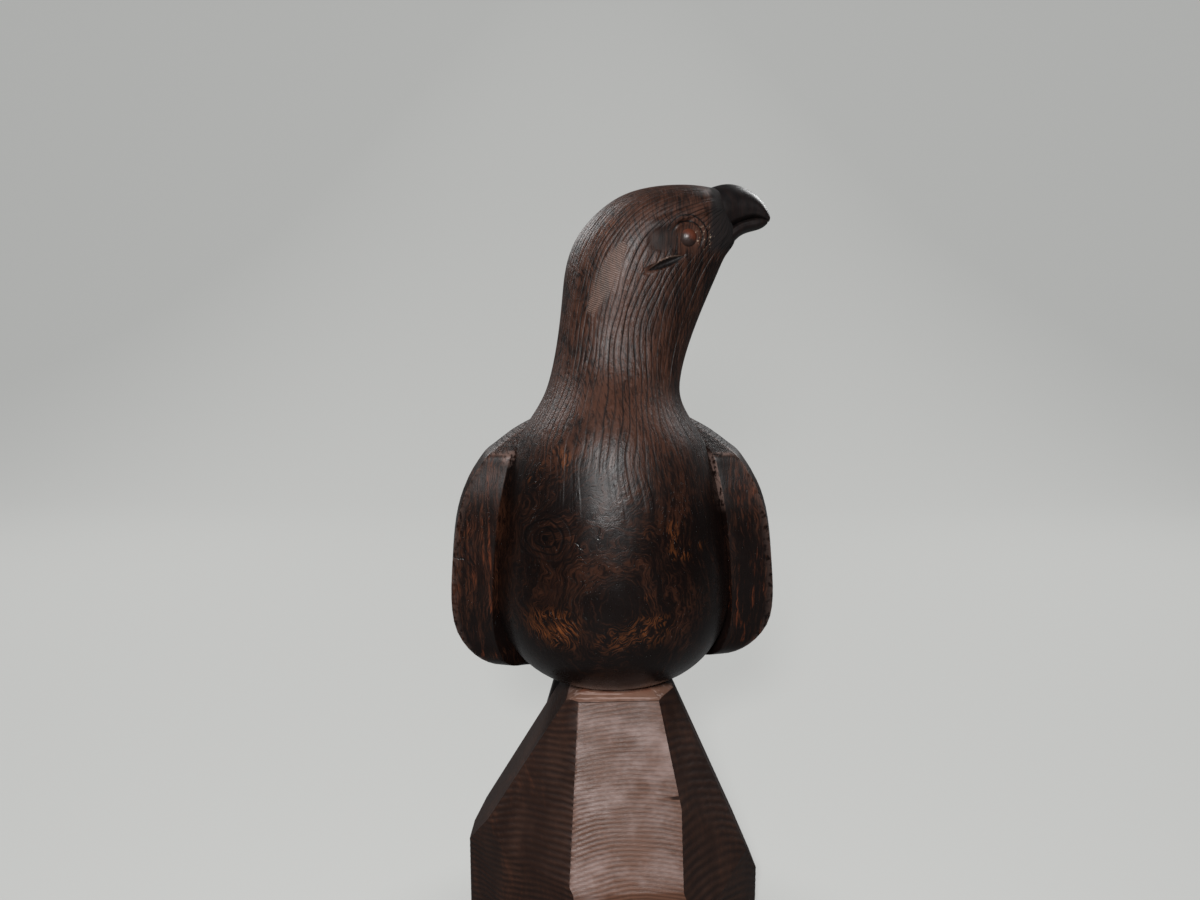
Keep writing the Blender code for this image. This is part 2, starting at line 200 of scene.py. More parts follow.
# %% Skins
def skin(name, rings, material):
    """A closed skin over the rings. A ring may have twice as many points as the ring before it."""
    starts = np.concatenate([[0], np.cumsum([ring.count for ring in rings])])
    corners = []
    for k, (lower, upper) in enumerate(zip(rings, rings[1:])):
        twice = upper.count == 2 * lower.count
        for i in range(lower.count):
            if twice:
                corners.append(((k, i), (k + 1, 2 * i + 1), (k + 1, 2 * i)))
                corners.append(((k, i), (k, i + 1), (k + 1, 2 * i + 1)))
                corners.append(((k, i + 1), (k + 1, 2 * i + 2), (k + 1, 2 * i + 1)))
            else:
                corners.append(((k, i), (k, i + 1), (k + 1, i + 1), (k + 1, i)))
    last = len(rings) - 1
    corners.append(tuple((0, i) for i in reversed(range(rings[0].count))))
    corners.append(tuple((last, i) for i in range(rings[last].count)))
    faces = [[starts[k] + i % rings[k].count for k, i in face] for face in corners]
    pairs = [rings[k].uv(i) for face in corners for k, i in face]
    stroke_uv = [pair[0] for pair in pairs]
    wear_uv = [pair[1] for pair in pairs]
    vertices = np.concatenate([ring.points for ring in rings])
    return new_object(name, vertices, faces, stroke_uv, wear_uv, material)


# %% [markdown]
# ## The finishes, empty for now
# The skins need their materials' names while they are built, so the four finishes are made here and
# filled in further down, once there is a form to look at.

# %% Name the finishes
FINISHES = ("polished_ironwood", "rasped_ironwood", "dark_beak", "amber_eye")
finish = {}
for name in FINISHES:
    finish[name] = bpy.data.materials.new(name)
    finish[name].use_nodes = True
print("finishes", ", ".join(finish))

# %% [markdown]
# ## Belly, neck and head
# One skin runs from the belly over the neck to the brow. Its columns follow the feathers, five columns
# to a feather line, so each line can be cut as a crisp V and still wander a little, as a hand-cut line
# does. The smooth belly needs only half as many columns.

# %% Body sections
# For each section: its left and right points seen from the front, and its reach to breast and back
BODY_SECTIONS = (
    ((-7.5, 0.2), (7.5, 0.2), 7.5, 7.5),
    ((-13.0, 1.9), (13.0, 1.9), 13.4, 12.5),
    ((-17.8, 5.0), (18.0, 5.0), 18.8, 17.1),
    ((-21.4, 9.6), (21.7, 9.6), 23.4, 20.8),
    ((-23.5, 15.4), (24.0, 15.4), 26.0, 22.9),
    ((-23.7, 22.5), (24.4, 22.5), 26.6, 23.7),
    ((-22.7, 30.8), (23.5, 30.8), 26.3, 23.3),
    ((-21.5, 39.2), (22.0, 39.2), 25.4, 22.1),
    ((-20.3, 45.8), (20.3, 45.8), 24.3, 20.4),
    ((-18.6, 50.8), (18.2, 50.8), 23.1, 18.3),
    ((-16.1, 55.0), (15.5, 55.0), 21.2, 15.8),
    ((-13.7, 59.2), (13.7, 59.2), 18.0, 14.2),
    ((-12.2, 63.8), (13.8, 63.3), 14.7, 13.2),
    ((-10.8, 71.2), (15.3, 69.3), 12.7, 12.5),
    ((-9.9, 78.8), (17.5, 75.4), 12.3, 12.3),
    ((-9.1, 84.6), (19.3, 79.8), 12.3, 12.2),
    ((-7.0, 90.0), (20.9, 83.6), 12.2, 12.0),
    ((-3.0, 94.8), (22.3, 86.6), 11.7, 11.5),
    ((2.2, 98.2), (23.8, 88.8), 10.7, 10.5),
    ((8.8, 99.8), (24.0, 91.0), 9.2, 9.1),
    ((15.4, 100.0), (23.3, 92.9), 7.0, 7.0),
    ((19.6, 99.5), (23.0, 94.6), 4.3, 4.3),
)
BODY_SQUARENESS = 2.12
HEAD_TAPER = 0.18
NECK_LINES = 76
COLUMNS = 5 * NECK_LINES
BODY_LENGTH_MM = 190.0
rng = np.random.default_rng(7)
line_depth = rng.uniform(0.25, 1.30, NECK_LINES)
line_phase = rng.uniform(0, math.tau, NECK_LINES)
line_start = rng.uniform(0.395, 0.470, NECK_LINES)
line_end = rng.uniform(0.93, 0.985, NECK_LINES)
print(len(BODY_SECTIONS), "sections,", COLUMNS, "columns")


# %% Points of a body ring
def wander(share, angle):
    """How far a feather line strays to the side at a place, in radians."""
    stray = 0.045 * np.sin(2 * angle + 17 * share) + 0.020 * np.sin(5 * angle - 31 * share + 1.3)
    stray += 0.009 * np.sin(11 * angle + 53 * share) + 0.005 * np.sin(23 * angle + 97 * share + 0.4)
    swept = hill(share - 0.70, 0.075) * np.clip(-np.sin(angle), 0, 1) ** 2
    return stray - 0.16 * swept


def body_points(row, angle):
    """Points of the body in hundredths, for one section and many angles."""
    left_x, left_z, right_x, right_z, to_breast, to_back = row
    side, face = squared_oval(angle, BODY_SQUARENESS)
    x = (left_x + right_x) / 2 + (right_x - left_x) / 2 * side
    z = (left_z + right_z) / 2 + (right_z - left_z) / 2 * side
    taper = HEAD_TAPER * ramp((left_z + right_z) / 2, 60.0, 84.0)
    y = np.where(face > 0, to_back, to_breast) * face * (1 - taper * side)
    return np.stack([x, y, z], axis=-1)


def outward(grid):
    """Unit vectors that stand out from a grid of points whose columns close into rings."""
    around = np.roll(grid, -1, axis=1) - np.roll(grid, 1, axis=1)
    along = np.gradient(grid, axis=0)
    across = np.cross(around, along)
    across /= np.linalg.norm(across, axis=2, keepdims=True) + 1e-12
    from_middle = grid - grid.mean(axis=1, keepdims=True)
    facing = np.sign((across * from_middle).sum(axis=2, keepdims=True).mean())
    return across * facing


# %% [markdown]
# ## What the knife did to the head
# Around the eye the carver cut a shallow socket, two lid arcs, a heavy brow with a line under it, a
# smooth patch behind the eye and a leaf-shaped nick below it. They are all height changes of a tenth
# to one millimetre, so they are worked out as hills and hollows on the fine skin.

# %% Head relief
EYE = (13.8, 89.5)
BROW = ((8.2, 91.4), (12.6, 93.6), (18.6, 95.3))
PATCH = (9.2, 88.9)
NICK = ((6.2, 83.2), (13.6, 86.2))
LEAF = ((-4.0, 76.2), (1.6, 87.6))
MOUTH = ((19.9, 87.4), (20.8, 89.5), (22.6, 91.0))
EYE_RADIUS = 1.86


def in_mm(point):
    """A place on the head's side, from hundredths to millimetres over the foot."""
    return HUNDREDTH_MM * point[0], BELLY_Z_MM + HUNDREDTH_MM * point[1]


def head_relief(x, z):
    """Height change in millimetres of the head's sides, at x and z in hundredths."""
    from_eye = np.hypot(x - EYE[0], z - EYE[1])
    bearing = np.degrees(np.arctan2(z - EYE[1], x - EYE[0]))
    above = ramp(bearing, -50, -10) * (1 - ramp(bearing, 130, 170))
    height = -0.50 * hill(from_eye, 3.0)
    height += 0.26 * above * hill(from_eye - 2.45, 0.26)
    height -= 0.20 * above * hill(from_eye - 2.95, 0.20)
    height += 0.22 * above * hill(from_eye - 3.45, 0.26)
    height += 0.48 * hill(to_path(x, z, BROW), 1.25)
    under_gap = to_segment(x, z + 1.35, BROW[1], BROW[2])[0]
    height -= 0.34 * hill(under_gap, 0.30)
    over_gap = to_segment(x, z - 1.7, BROW[0], BROW[2])[0]
    height -= 0.22 * hill(over_gap, 0.34)
    patch = np.hypot((x - PATCH[0]) / 3.2, (z - PATCH[1]) / 2.6)
    height -= 0.20 * (1 - ramp(patch, 0.5, 1.2))
    nick_gap, nick_along = to_segment(x, z, *NICK)
    width = 0.16 + 0.62 * np.sin(math.pi * nick_along) ** 0.7
    height -= (0.25 + 0.60 * np.sin(math.pi * nick_along)) * (1 - ramp(nick_gap, 0.3 * width, width))
    rim_gap, rim_along = to_segment(x + 0.25, z - 0.75, *NICK)
    height += 0.14 * hill(rim_gap, 0.26) * np.sin(math.pi * rim_along)
    height += 0.30 * hill(to_path(x, z, MOUTH), 0.42)
    height -= 0.45 * hill(to_path(x - 0.7, z + 0.7, MOUTH), 0.40)
    return height


def ribbed_leaf(x, z):
    """1 inside the leaf-shaped spot on the cheek that the chisel left ribbed instead of grooved."""
    gap, along = to_segment(x, z, *LEAF)
    return 1 - ramp(gap, 0.75, 1.9 * np.sin(math.pi * along) + 0.9)


def smooth_spots(x, z):
    """1 where the head was left smooth, 0 where feather lines run."""
    from_eye = np.hypot(x - EYE[0], z - EYE[1])
    patch = np.hypot((x - PATCH[0]) / 3.2, (z - PATCH[1]) / 2.6)
    nick_gap, nick_along = to_segment(x, z, *NICK)
    spots = np.maximum(1 - ramp(patch, 0.7, 1.0), 1 - ramp(from_eye, 3.4, 3.9))
    spots = np.maximum(spots, ribbed_leaf(x, z))
    return np.maximum(spots, 1 - ramp(nick_gap, 0.5, 0.9))


# %% [markdown]
# ## Cutting the feather lines
# A V tool makes one line in one pass, and the wood between two lines stays as a soft ridge. Within a
# feather the five columns sit on the line, on its two flanks and on the ridge, so the groove is sharp.

# %% Grid of neck and head
belly_shares = np.linspace(0, 0.39, 32)
neck_shares = np.linspace(0.39, 0.74, 50)[1:]
head_shares = np.linspace(0.74, 1.0, 82)[1:]
fine_shares = np.concatenate([belly_shares[-1:], neck_shares, head_shares])
fine_angles = np.tile(math.tau * np.arange(COLUMNS) / COLUMNS, (len(fine_shares), 1))
fine_angles = fine_angles + wander(fine_shares[:, None], fine_angles) * ramp(fine_shares, 0.39, 0.5)[:, None]
fine_rows = smooth_sections(BODY_SECTIONS, fine_shares)
fine_grid = np.stack([body_points(row, angle) for row, angle in zip(fine_rows, fine_angles)])
print("the fine grid has", fine_grid.shape[0], "rows and", fine_grid.shape[1], "columns")

# %% Cut the lines
FEATHER_DEPTH_MM = 0.13
LINE_PROFILE = np.array([1.0, 0.25, 0.0, 0.0, 0.25])
line_of = np.arange(COLUMNS) // 5
started = ramp(fine_shares[:, None], line_start[line_of], line_start[line_of] + 0.03)
ended = ramp(fine_shares[:, None], line_end[line_of] - 0.02, line_end[line_of])
x, y, z = fine_grid[..., 0], fine_grid[..., 1], fine_grid[..., 2]
on_side = ramp(np.abs(y), 4.5, 7.5) * ramp(z, 73, 76)
smooth = smooth_spots(x, z) * on_side
shallow_chest = 0.45 + 0.55 * ramp(fine_shares[:, None], 0.46, 0.56)
cut = started * (1 - ended) * (1 - smooth) * line_depth[line_of] * shallow_chest
fading = 0.72 + 0.38 * np.sin(38 * fine_shares[:, None] + line_phase[line_of])
chatter = fading + 0.2 * np.sin(167 * fine_shares[:, None] + 3 * line_phase[line_of])
relief = -FEATHER_DEPTH_MM * cut * chatter * LINE_PROFILE[np.arange(COLUMNS) % 5]
relief += head_relief(x, z) * on_side
fine_points = fine_grid * HUNDREDTH + outward(fine_grid) * (relief * MM)[..., None]
fine_points[..., 2] += BELLY_Z
ribbed = -ribbed_leaf(x, z) * on_side

# %% Build the body
rings = []
for share, row in zip(belly_shares[:-1], smooth_sections(BODY_SECTIONS, belly_shares[:-1])):
    points = placed(body_points(row, math.tau * np.arange(COLUMNS // 2) / (COLUMNS // 2)))
    rings.append(Ring(points, NECK_LINES, 0.0, share * BODY_LENGTH_MM))
for points, share, depth, rib in zip(fine_points, fine_shares, cut, ribbed):
    rings.append(Ring(points, NECK_LINES, depth, share * BODY_LENGTH_MM, rib))
body = skin("body", rings, finish["polished_ironwood"])
print("body faces", len(body.data.polygons))

# %% [markdown]
# ## Folded wings
# Each wing is a slab that hugs the body. Its front edge was sawn flat, which leaves a long facet with
# crisp corners, and its outer face carries long feathers. A slab has a clear outline at every height,
# so it is a stack of level outlines. The corners get a tiny round, because a polished corner is never
# knife sharp.

# %% Wing sections
# For each level: its height, the facet's lip, corner and front, the outer reach, and the rear edge
WING_SECTIONS = (
    (-7.9, 8.8, 10.0, 21.7, 11.3, 8.2, 25.0),
    (-5.0, 10.5, 12.5, 16.5, 14.6, 7.5, 25.7),
    (-0.8, 14.5, 17.0, 9.5, 19.0, 6.7, 26.3),
    (2.6, 18.4, 20.8, 2.0, 22.6, 5.4, 27.0),
    (5.0, 20.8, 24.2, -4.2, 25.6, 4.8, 27.4),
    (7.6, 22.3, 27.5, -6.9, 28.7, 4.1, 27.7),
    (10.2, 23.3, 29.8, -7.8, 30.8, 3.5, 27.9),
    (13.5, 23.9, 31.6, -8.1, 32.5, 2.9, 28.0),
    (17.5, 24.0, 32.2, -8.6, 33.0, 2.5, 27.8),
    (25.8, 23.5, 31.8, -9.0, 32.8, 2.5, 27.2),
    (34.2, 22.7, 30.7, -9.0, 32.0, 2.9, 25.8),
    (42.5, 21.2, 28.0, -8.6, 29.4, 4.2, 23.6),
    (46.0, 20.4, 25.8, -8.3, 27.2, 4.9, 22.0),
    (47.9, 19.8, 24.4, -8.0, 25.7, 5.2, 21.0),
    (48.9, 19.1, 23.2, -6.4, 24.4, 5.5, 20.4),
    (50.8, 17.4, 20.4, -2.4, 21.8, 6.2, 18.9),
    (53.0, 14.0, 16.4, 2.6, 17.8, 7.0, 16.9),
    (55.0, 10.6, 12.2, 7.0, 13.6, 7.6, 14.4),
)
WING_LINES = 9
WING_DEPTH_MM = 0.34
WING_ROWS = 84
WING_EDGE = 1.9
LIP_RUN, LIP_DEPTH = 2.7, 3.4
RIGHT_WING_DROP, LEFT_WING_RISE = 1.77, 0.65
FACET_SLANT = 0.7
FACET_STEPS = 5
CORNER_ROUND = 0.17
RIM_Z = 48.2
SHOULDER_PITCH_MM = 0.85
OUTER_STEPS = 6 * WING_LINES


# %% Wing outlines
def rounded_corner(before, corner, after, radius):
    """Three points that take the edge off a corner."""
    before, corner, after = map(np.asarray, (before, corner, after))
    nearest = min(np.linalg.norm(before - corner), np.linalg.norm(after - corner))
    radius = min(radius, 0.4 * nearest)
    back = (before - corner) / np.linalg.norm(before - corner) * radius
    on = (after - corner) / np.linalg.norm(after - corner) * radius
    return [corner + back, corner + 0.28 * (back + on), corner + on]


def wing_outline(row):
    """One level outline of a wing as x and y, with how worn each of its points is."""
    z, lip, corner, front, reach, rear_x, rear_y = row
    rim = hill(z - RIM_Z, 0.28)
    middle_y = front + 0.30 * (rear_y - front)
    facet_y = front + FACET_SLANT
    shrink = min(1.0, (rear_y - front) / 12)
    start = math.acos(min(1.0, corner / reach))
    end = math.acos(min(1.0, rear_x / reach))
    outer = []
    for i in range(1, OUTER_STEPS + 1):
        angle = -start + (end + start) * i / (OUTER_STEPS + 1)
        if angle < 0:
            y = middle_y + (middle_y - facet_y) * math.sin(angle) / math.sin(start)
        else:
            y = middle_y + (rear_y - middle_y) * math.sin(angle) / math.sin(end)
        vane = (i % 6) / 6
        cut = WING_DEPTH_MM / HUNDREDTH_MM * (1 - vane) ** 2 * min(1, i / 6) * shrink**2
        outer.append(np.array([(reach - cut) * math.cos(angle), y]))
    root = np.array([lip - LIP_RUN * shrink, front + LIP_DEPTH * shrink])
    lip_point = np.array([lip, front])
    corner_point = np.array([corner, facet_y])
    outline = [root] + rounded_corner(root, lip_point, corner_point, CORNER_ROUND)
    wear = [0.0, 0.5 * rim, rim, rim]
    for i in range(1, FACET_STEPS):
        outline.append(lip_point + (corner_point - lip_point) * i / FACET_STEPS)
        wear.append(rim)
    outline += rounded_corner(lip_point, corner_point, outer[0], CORNER_ROUND) + outer
    wear += [0.3, 0.8, 0.3] + [0.0] * len(outer)
    core = np.array([rear_x + 0.35 * (lip - rear_x), front + 0.55 * (rear_y - front)])
    outline += [np.array([rear_x, rear_y]), np.array([rear_x, rear_y - WING_EDGE * shrink]), core]
    wear += [0.7, 0.2, 0.0]
    return np.array(outline), np.array(wear)


# %% Build the wings
def make_wing(name, side, end_rise):
    rings = []
    even = np.linspace(0, 1, 400)
    heights = smooth_sections(WING_SECTIONS, even)[:, 0]
    crowding = np.cumsum(1 + 5 * hill(heights - RIM_Z, 1.4) + 1.5 * ramp(heights, RIM_Z, RIM_Z + 1))
    shares = np.interp(np.linspace(crowding[0], crowding[-1], WING_ROWS), crowding, even)
    for row in smooth_sections(WING_SECTIONS, shares):
        outline, wear = wing_outline(row)
        if side < 0:
            chip = ramp(row[0], 45.4, 47.6) * (1 - ramp(row[0], 48.5, 49.0))
            wear[1:5] = np.maximum(wear[1:5], chip)
        else:
            chamfer = ramp(row[0], 37.0, 40.5) * (1 - ramp(row[0], 47.5, 48.5))
            wear[1:3] = np.maximum(wear[1:3], chamfer)
        z = row[0] + end_rise * (1 - ramp(row[0], 5.0, 24.0))
        points = np.column_stack([side * outline[:, 0], outline[:, 1], np.full(len(outline), z)])
        on_shoulder = 0.9 * ramp(row[0], RIM_Z + 0.5, RIM_Z + 1.2)
        height_mm = row[0] * HUNDREDTH_MM
        rings.append(Ring(placed(points), 0, on_shoulder, height_mm, wear, height_mm / SHOULDER_PITCH_MM))
    return skin(name, rings, finish["polished_ironwood"])


wings = [make_wing("left_wing", 1, LEFT_WING_RISE), make_wing("right_wing", -1, -RIGHT_WING_DROP)]
print("wing faces", len(wings[0].data.polygons))

# %% [markdown]
# ## Tail
# The tail hangs down behind the rock and grows out of it. Only a rounded edge of it shows from the
# front, so its back gets the same plain feathers as the wings.

# %% Build the tail
# For each level: height, how far behind the middle, half the width and half the thickness
TAIL_SECTIONS = (
    (-34.6, 28.1, 17.9, 1.6),
    (-33.3, 27.9, 18.8, 2.7),
    (-28.3, 27.2, 17.9, 2.9),
    (-20.0, 25.8, 15.8, 3.2),
    (-11.7, 24.2, 13.6, 3.3),
    (-3.3, 22.5, 12.1, 3.7),
    (6.7, 20.0, 10.4, 4.2),
    (16.7, 16.7, 8.3, 4.2),
)
TAIL_LINES = 7
TAIL_SQUARENESS = 4.0
TAIL_ROWS, TAIL_COLUMNS = 40, 120
TAIL_STROKES = 60
tail_rings = []
tail_angle = math.tau * np.arange(TAIL_COLUMNS) / TAIL_COLUMNS
for z, behind, half_width, half_thickness in smooth_sections(TAIL_SECTIONS, np.linspace(0, 1, TAIL_ROWS)):
    across, away = squared_oval(tail_angle, TAIL_SQUARENESS)
    vane = np.where(away > 0, hill(((across * TAIL_LINES / 2) % 1) - 0.5, 0.12), 0)
    depth = WING_DEPTH_MM / HUNDREDTH_MM * vane
    points = np.column_stack([across * half_width, behind + away * half_thickness - depth, 0 * across + z])
    tail_rings.append(Ring(placed(points), TAIL_STROKES, 0.0, z * HUNDREDTH_MM))
tail = skin("tail", tail_rings, finish["polished_ironwood"])
print("tail faces", len(tail.data.polygons))

# %% [markdown]
# ## Beak
# The two halves of the beak are smooth ovals that shrink towards the tip. The lower edge of the upper
# half is drawn out into a thin lip, and the mouth is the gap that is left between the halves.

# %% Beak sections
# For each section: its upper and lower points on the side of the head, and half its width
UPPER_BEAK = (
    ((17.5, 99.0), (18.3, 87.5), 6.2),
    ((21.2, 100.2), (21.0, 89.0), 5.5),
    ((23.8, 100.2), (22.5, 91.2), 4.7),
    ((26.3, 99.3), (24.8, 92.8), 3.8),
    ((28.5, 97.8), (27.4, 93.7), 3.0),
    ((30.1, 95.8), (29.4, 93.5), 2.2),
    ((30.8, 94.3), (30.7, 93.2), 1.3),
)
LOWER_BEAK = (
    ((20.0, 90.2), (19.6, 84.6), 5.0),
    ((22.4, 91.7), (22.3, 87.4), 4.2),
    ((24.4, 93.0), (24.8, 90.2), 3.3),
    ((27.1, 93.8), (27.2, 91.3), 2.5),
    ((29.2, 94.0), (29.4, 92.0), 1.8),
    ((30.4, 93.7), (30.3, 92.7), 1.2),
)
BEAK_ROWS = 44
BEAK_COLUMNS = 56
BEAK_STROKES = 12
BEAK_LENGTH_MM = 16
LIP_MM = 0.42


# %% Build the beak
def make_beak_half(name, sections, lip_side):
    """One half of the beak. lip_side is -1 where the lip is at the lower edge, and 1 at the upper."""
    rings = []
    shares = np.linspace(0, 1, BEAK_ROWS)
    angle = math.tau * np.arange(BEAK_COLUMNS) / BEAK_COLUMNS
    for share, row in zip(shares, smooth_sections(sections, shares)):
        upper_x, upper_z, lower_x, lower_z, half_width = row
        up = np.cos(angle)
        out = np.sin(angle)
        x = (upper_x + lower_x) / 2 + (upper_x - lower_x) / 2 * up
        z = (upper_z + lower_z) / 2 + (upper_z - lower_z) / 2 * up
        lip = LIP_MM / HUNDREDTH_MM * hill(up - 0.62 * lip_side, 0.17) * (1 - ramp(share, 0.8, 1))
        y = half_width * out + lip * np.sign(out)
        wear = hill(up - 1, 0.05) * ramp(share, 0.35, 0.6)
        points = placed(np.column_stack([x, y, z]))
        rings.append(Ring(points, BEAK_STROKES, 0.0, share * BEAK_LENGTH_MM, wear))
    return skin(name, rings, finish["dark_beak"])


beak = [make_beak_half("upper_beak", UPPER_BEAK, -1), make_beak_half("lower_beak", LOWER_BEAK, 1)]
print("beak faces", sum(len(half.data.polygons) for half in beak))

# %% [markdown]
# ## Eyes
# Each eye is a round knob left standing in its socket. It is cut from the same wood, and looks redder
# because the polish is thickest there. A ring skin over a half circle gives it even faces.

# %% Build the eyes
EYE_COLUMNS, EYE_ROWS = 48, 26
EYE_POLE = 0.03
EYE_SUNK = 1.10


def side_height(x, z):
    """How far the head reaches to the side at x and z, all in hundredths."""
    near = np.argmin((fine_grid[..., 0] - x) ** 2 + (fine_grid[..., 2] - z) ** 2)
    return abs(fine_grid[..., 1].ravel()[near])


def make_eye(name, side):
    centre = np.array([EYE[0], side * (side_height(*EYE) - EYE_SUNK), EYE[1]])
    angle = math.tau * np.arange(EYE_COLUMNS) / EYE_COLUMNS
    rings = []
    for tilt in np.linspace(EYE_POLE, math.pi - EYE_POLE, EYE_ROWS):
        radius = EYE_RADIUS * math.sin(tilt)
        away = np.full(EYE_COLUMNS, side * EYE_RADIUS * math.cos(tilt))
        points = centre + np.column_stack([radius * np.cos(angle), away, radius * np.sin(angle)])
        rings.append(Ring(placed(points), 1, 0.0, tilt))
    return skin(name, rings, finish["amber_eye"])


eyes = [make_eye("right_eye", -1), make_eye("left_eye", 1)]
print("the head is", round(2 * side_height(*EYE) * HUNDREDTH_MM, 1), "mm wide at the eyes")

# %% [markdown]
# ## The rock
# The rock was roughed out with flat strokes: upright ones round the foot, long slopes above them and
# a narrow ledge on top. So it starts as a block and is cut by planes, one for each stroke. Its edges
# are then softened a little, and it is sliced into thin level bands, which lets the tool marks stand
# out as real ripples.

# %% Rock strokes
ROCK_WIDTH, ROCK_DEPTH = 76.5 * MM, 70.0 * MM
ROCK_TOP_WIDTH, ROCK_TOP_DEPTH = 24.0 * MM, 33.0 * MM
ROCK_FOOT_HEIGHT = 14.0 * MM
LEDGE_RUN = 3.5 * MM
LEDGE_LEAN = math.radians(31.0)
# For each slope: the compass angle it faces, then its reach at foot and top as shares of the block's
ROCK_SLOPES = (
    (3.0, 1.214, 0.94),
    (54.6, 1.013, 1.60),
    (61.2, 1.083, 1.27),
    (94.0, 1.037, 1.16),
    (122.0, 1.060, 1.20),
    (147.0, 1.060, 1.16),
    (180.0, 1.140, 1.20),
    (-150.0, 1.080, 1.16),
    (-124.0, 1.110, 1.08),
    (-94.0, 1.170, 0.70),
    (-38.7, 1.116, 1.18),
)
# For each upright stroke: the compass angle it faces and its reach as a share of the block's
ROCK_UPRIGHTS = (
    (3.0, 1.000),
    (44.0, 1.000),
    (58.0, 0.940),
    (93.0, 1.010),
    (118.0, 0.960),
    (146.0, 0.930),
    (177.0, 0.985),
    (-146.0, 0.920),
    (-114.0, 0.955),
    (-89.0, 0.980),
    (-54.0, 0.920),
    (-38.9, 0.920),
)
EDGE_SOFTENING = 0.45 * MM
BAND_HEIGHT = 0.40 * MM
COLUMN_SPACING = 4.0 * MM
OUTERMOST_COLUMN_MM = 36
DEEPEST_MARK_MM = 0.12


# %% Cut the block
def plane_cut(bm, point, normal, remove):
    """Cuts with a plane, and closes the cut with a flat face where one side is removed."""
    geometry = bm.verts[:] + bm.edges[:] + bm.faces[:]
    cut = bmesh.ops.bisect_plane(
        bm, geom=geometry, dist=1e-7, plane_co=point, plane_no=normal, clear_outer=remove
    )
    edges = [part for part in cut["geom_cut"] if isinstance(part, bmesh.types.BMEdge)]
    if remove and edges:
        bmesh.ops.contextual_create(bm, geom=edges)


def reach_towards(angle, width, depth):
    return math.hypot(width / 2 * math.sin(angle), depth / 2 * math.cos(angle))


def cut_rock(bm):
    up = Vector((0, 0, 1))
    bmesh.ops.create_cube(bm, size=1.0)
    bmesh.ops.scale(bm, vec=(2 * ROCK_WIDTH, 2 * ROCK_DEPTH, ROCK_HEIGHT), verts=bm.verts)
    bmesh.ops.translate(bm, vec=(0, 0, ROCK_HEIGHT / 2), verts=bm.verts)
    for degrees, share in ROCK_UPRIGHTS:
        angle = math.radians(degrees)
        out = Vector((math.sin(angle), -math.cos(angle), 0))
        plane_cut(bm, out * share * reach_towards(angle, ROCK_WIDTH, ROCK_DEPTH), out, True)
    for degrees, foot_share, top_share in ROCK_SLOPES:
        angle = math.radians(degrees)
        out = Vector((math.sin(angle), -math.cos(angle), 0))
        foot = foot_share * reach_towards(angle, ROCK_WIDTH, ROCK_DEPTH)
        top = top_share * reach_towards(angle, ROCK_TOP_WIDTH, ROCK_TOP_DEPTH)
        slope = out * (ROCK_HEIGHT - ROCK_FOOT_HEIGHT) + up * (foot - top)
        plane_cut(bm, out * foot + up * ROCK_FOOT_HEIGHT, slope.normalized(), True)
        ledge = out * math.sin(LEDGE_LEAN) + up * math.cos(LEDGE_LEAN)
        plane_cut(bm, out * (top - LEDGE_RUN) + up * ROCK_HEIGHT, ledge, True)


# %% [markdown]
# ## Tool marks on the rock
# A rasp leaves close, slightly bowed ripples on the front stroke. A coarser tool left wider ribs on the
# strokes beside it, and it chattered on the right. Each stroke gets its own pitch, bow and depth, and
# the same ripple number goes to the finish, which paints shade into the furrows.

# %% Tool marks
# For each stroke: the compass angle it serves, pitch in mm, bow per mm, tilt, and depth in mm
TOOL_MARKS = (
    (3.0, 0.98, 0.0090, -0.07, 0.050),
    (-40.0, 1.55, 0.0030, -0.24, 0.150),
    (56.0, 2.10, 0.0110, 0.35, 0.120),
    (94.0, 1.50, 0.0050, 0.10, 0.060),
    (-94.0, 1.00, 0.0030, -0.10, 0.050),
    (180.0, 1.70, 0.0040, 0.05, 0.080),
    (130.0, 1.50, 0.0040, -0.10, 0.060),
    (-130.0, 1.50, 0.0040, 0.10, 0.060),
)


def tool_mark(normal, place):
    """The ripple's number and its depth in mm, for a place on a stroke that faces this way."""
    angle = math.degrees(math.atan2(normal.x, -normal.y))
    best = min(TOOL_MARKS, key=lambda mark: abs((angle - mark[0] + 180) % 360 - 180))
    facing = math.radians(best[0])
    along = (place.x * math.cos(facing) + place.y * math.sin(facing)) / MM
    height = place.z / MM
    number = (height + best[3] * along + best[2] * along * along) / best[1]
    number += 0.30 * math.sin(0.13 * height + 0.17 * along) + 0.10 * math.sin(0.41 * along + 0.31 * height)
    number += 0.05 * math.sin(1.10 * along - 0.83 * height + best[0])
    uneven = 0.65 + 0.35 * math.sin(0.17 * height + 0.31 * along + best[0])
    return number, best[4] * uneven * min(1.0, max(0.0, 1.4 - abs(normal.z) * 1.2))


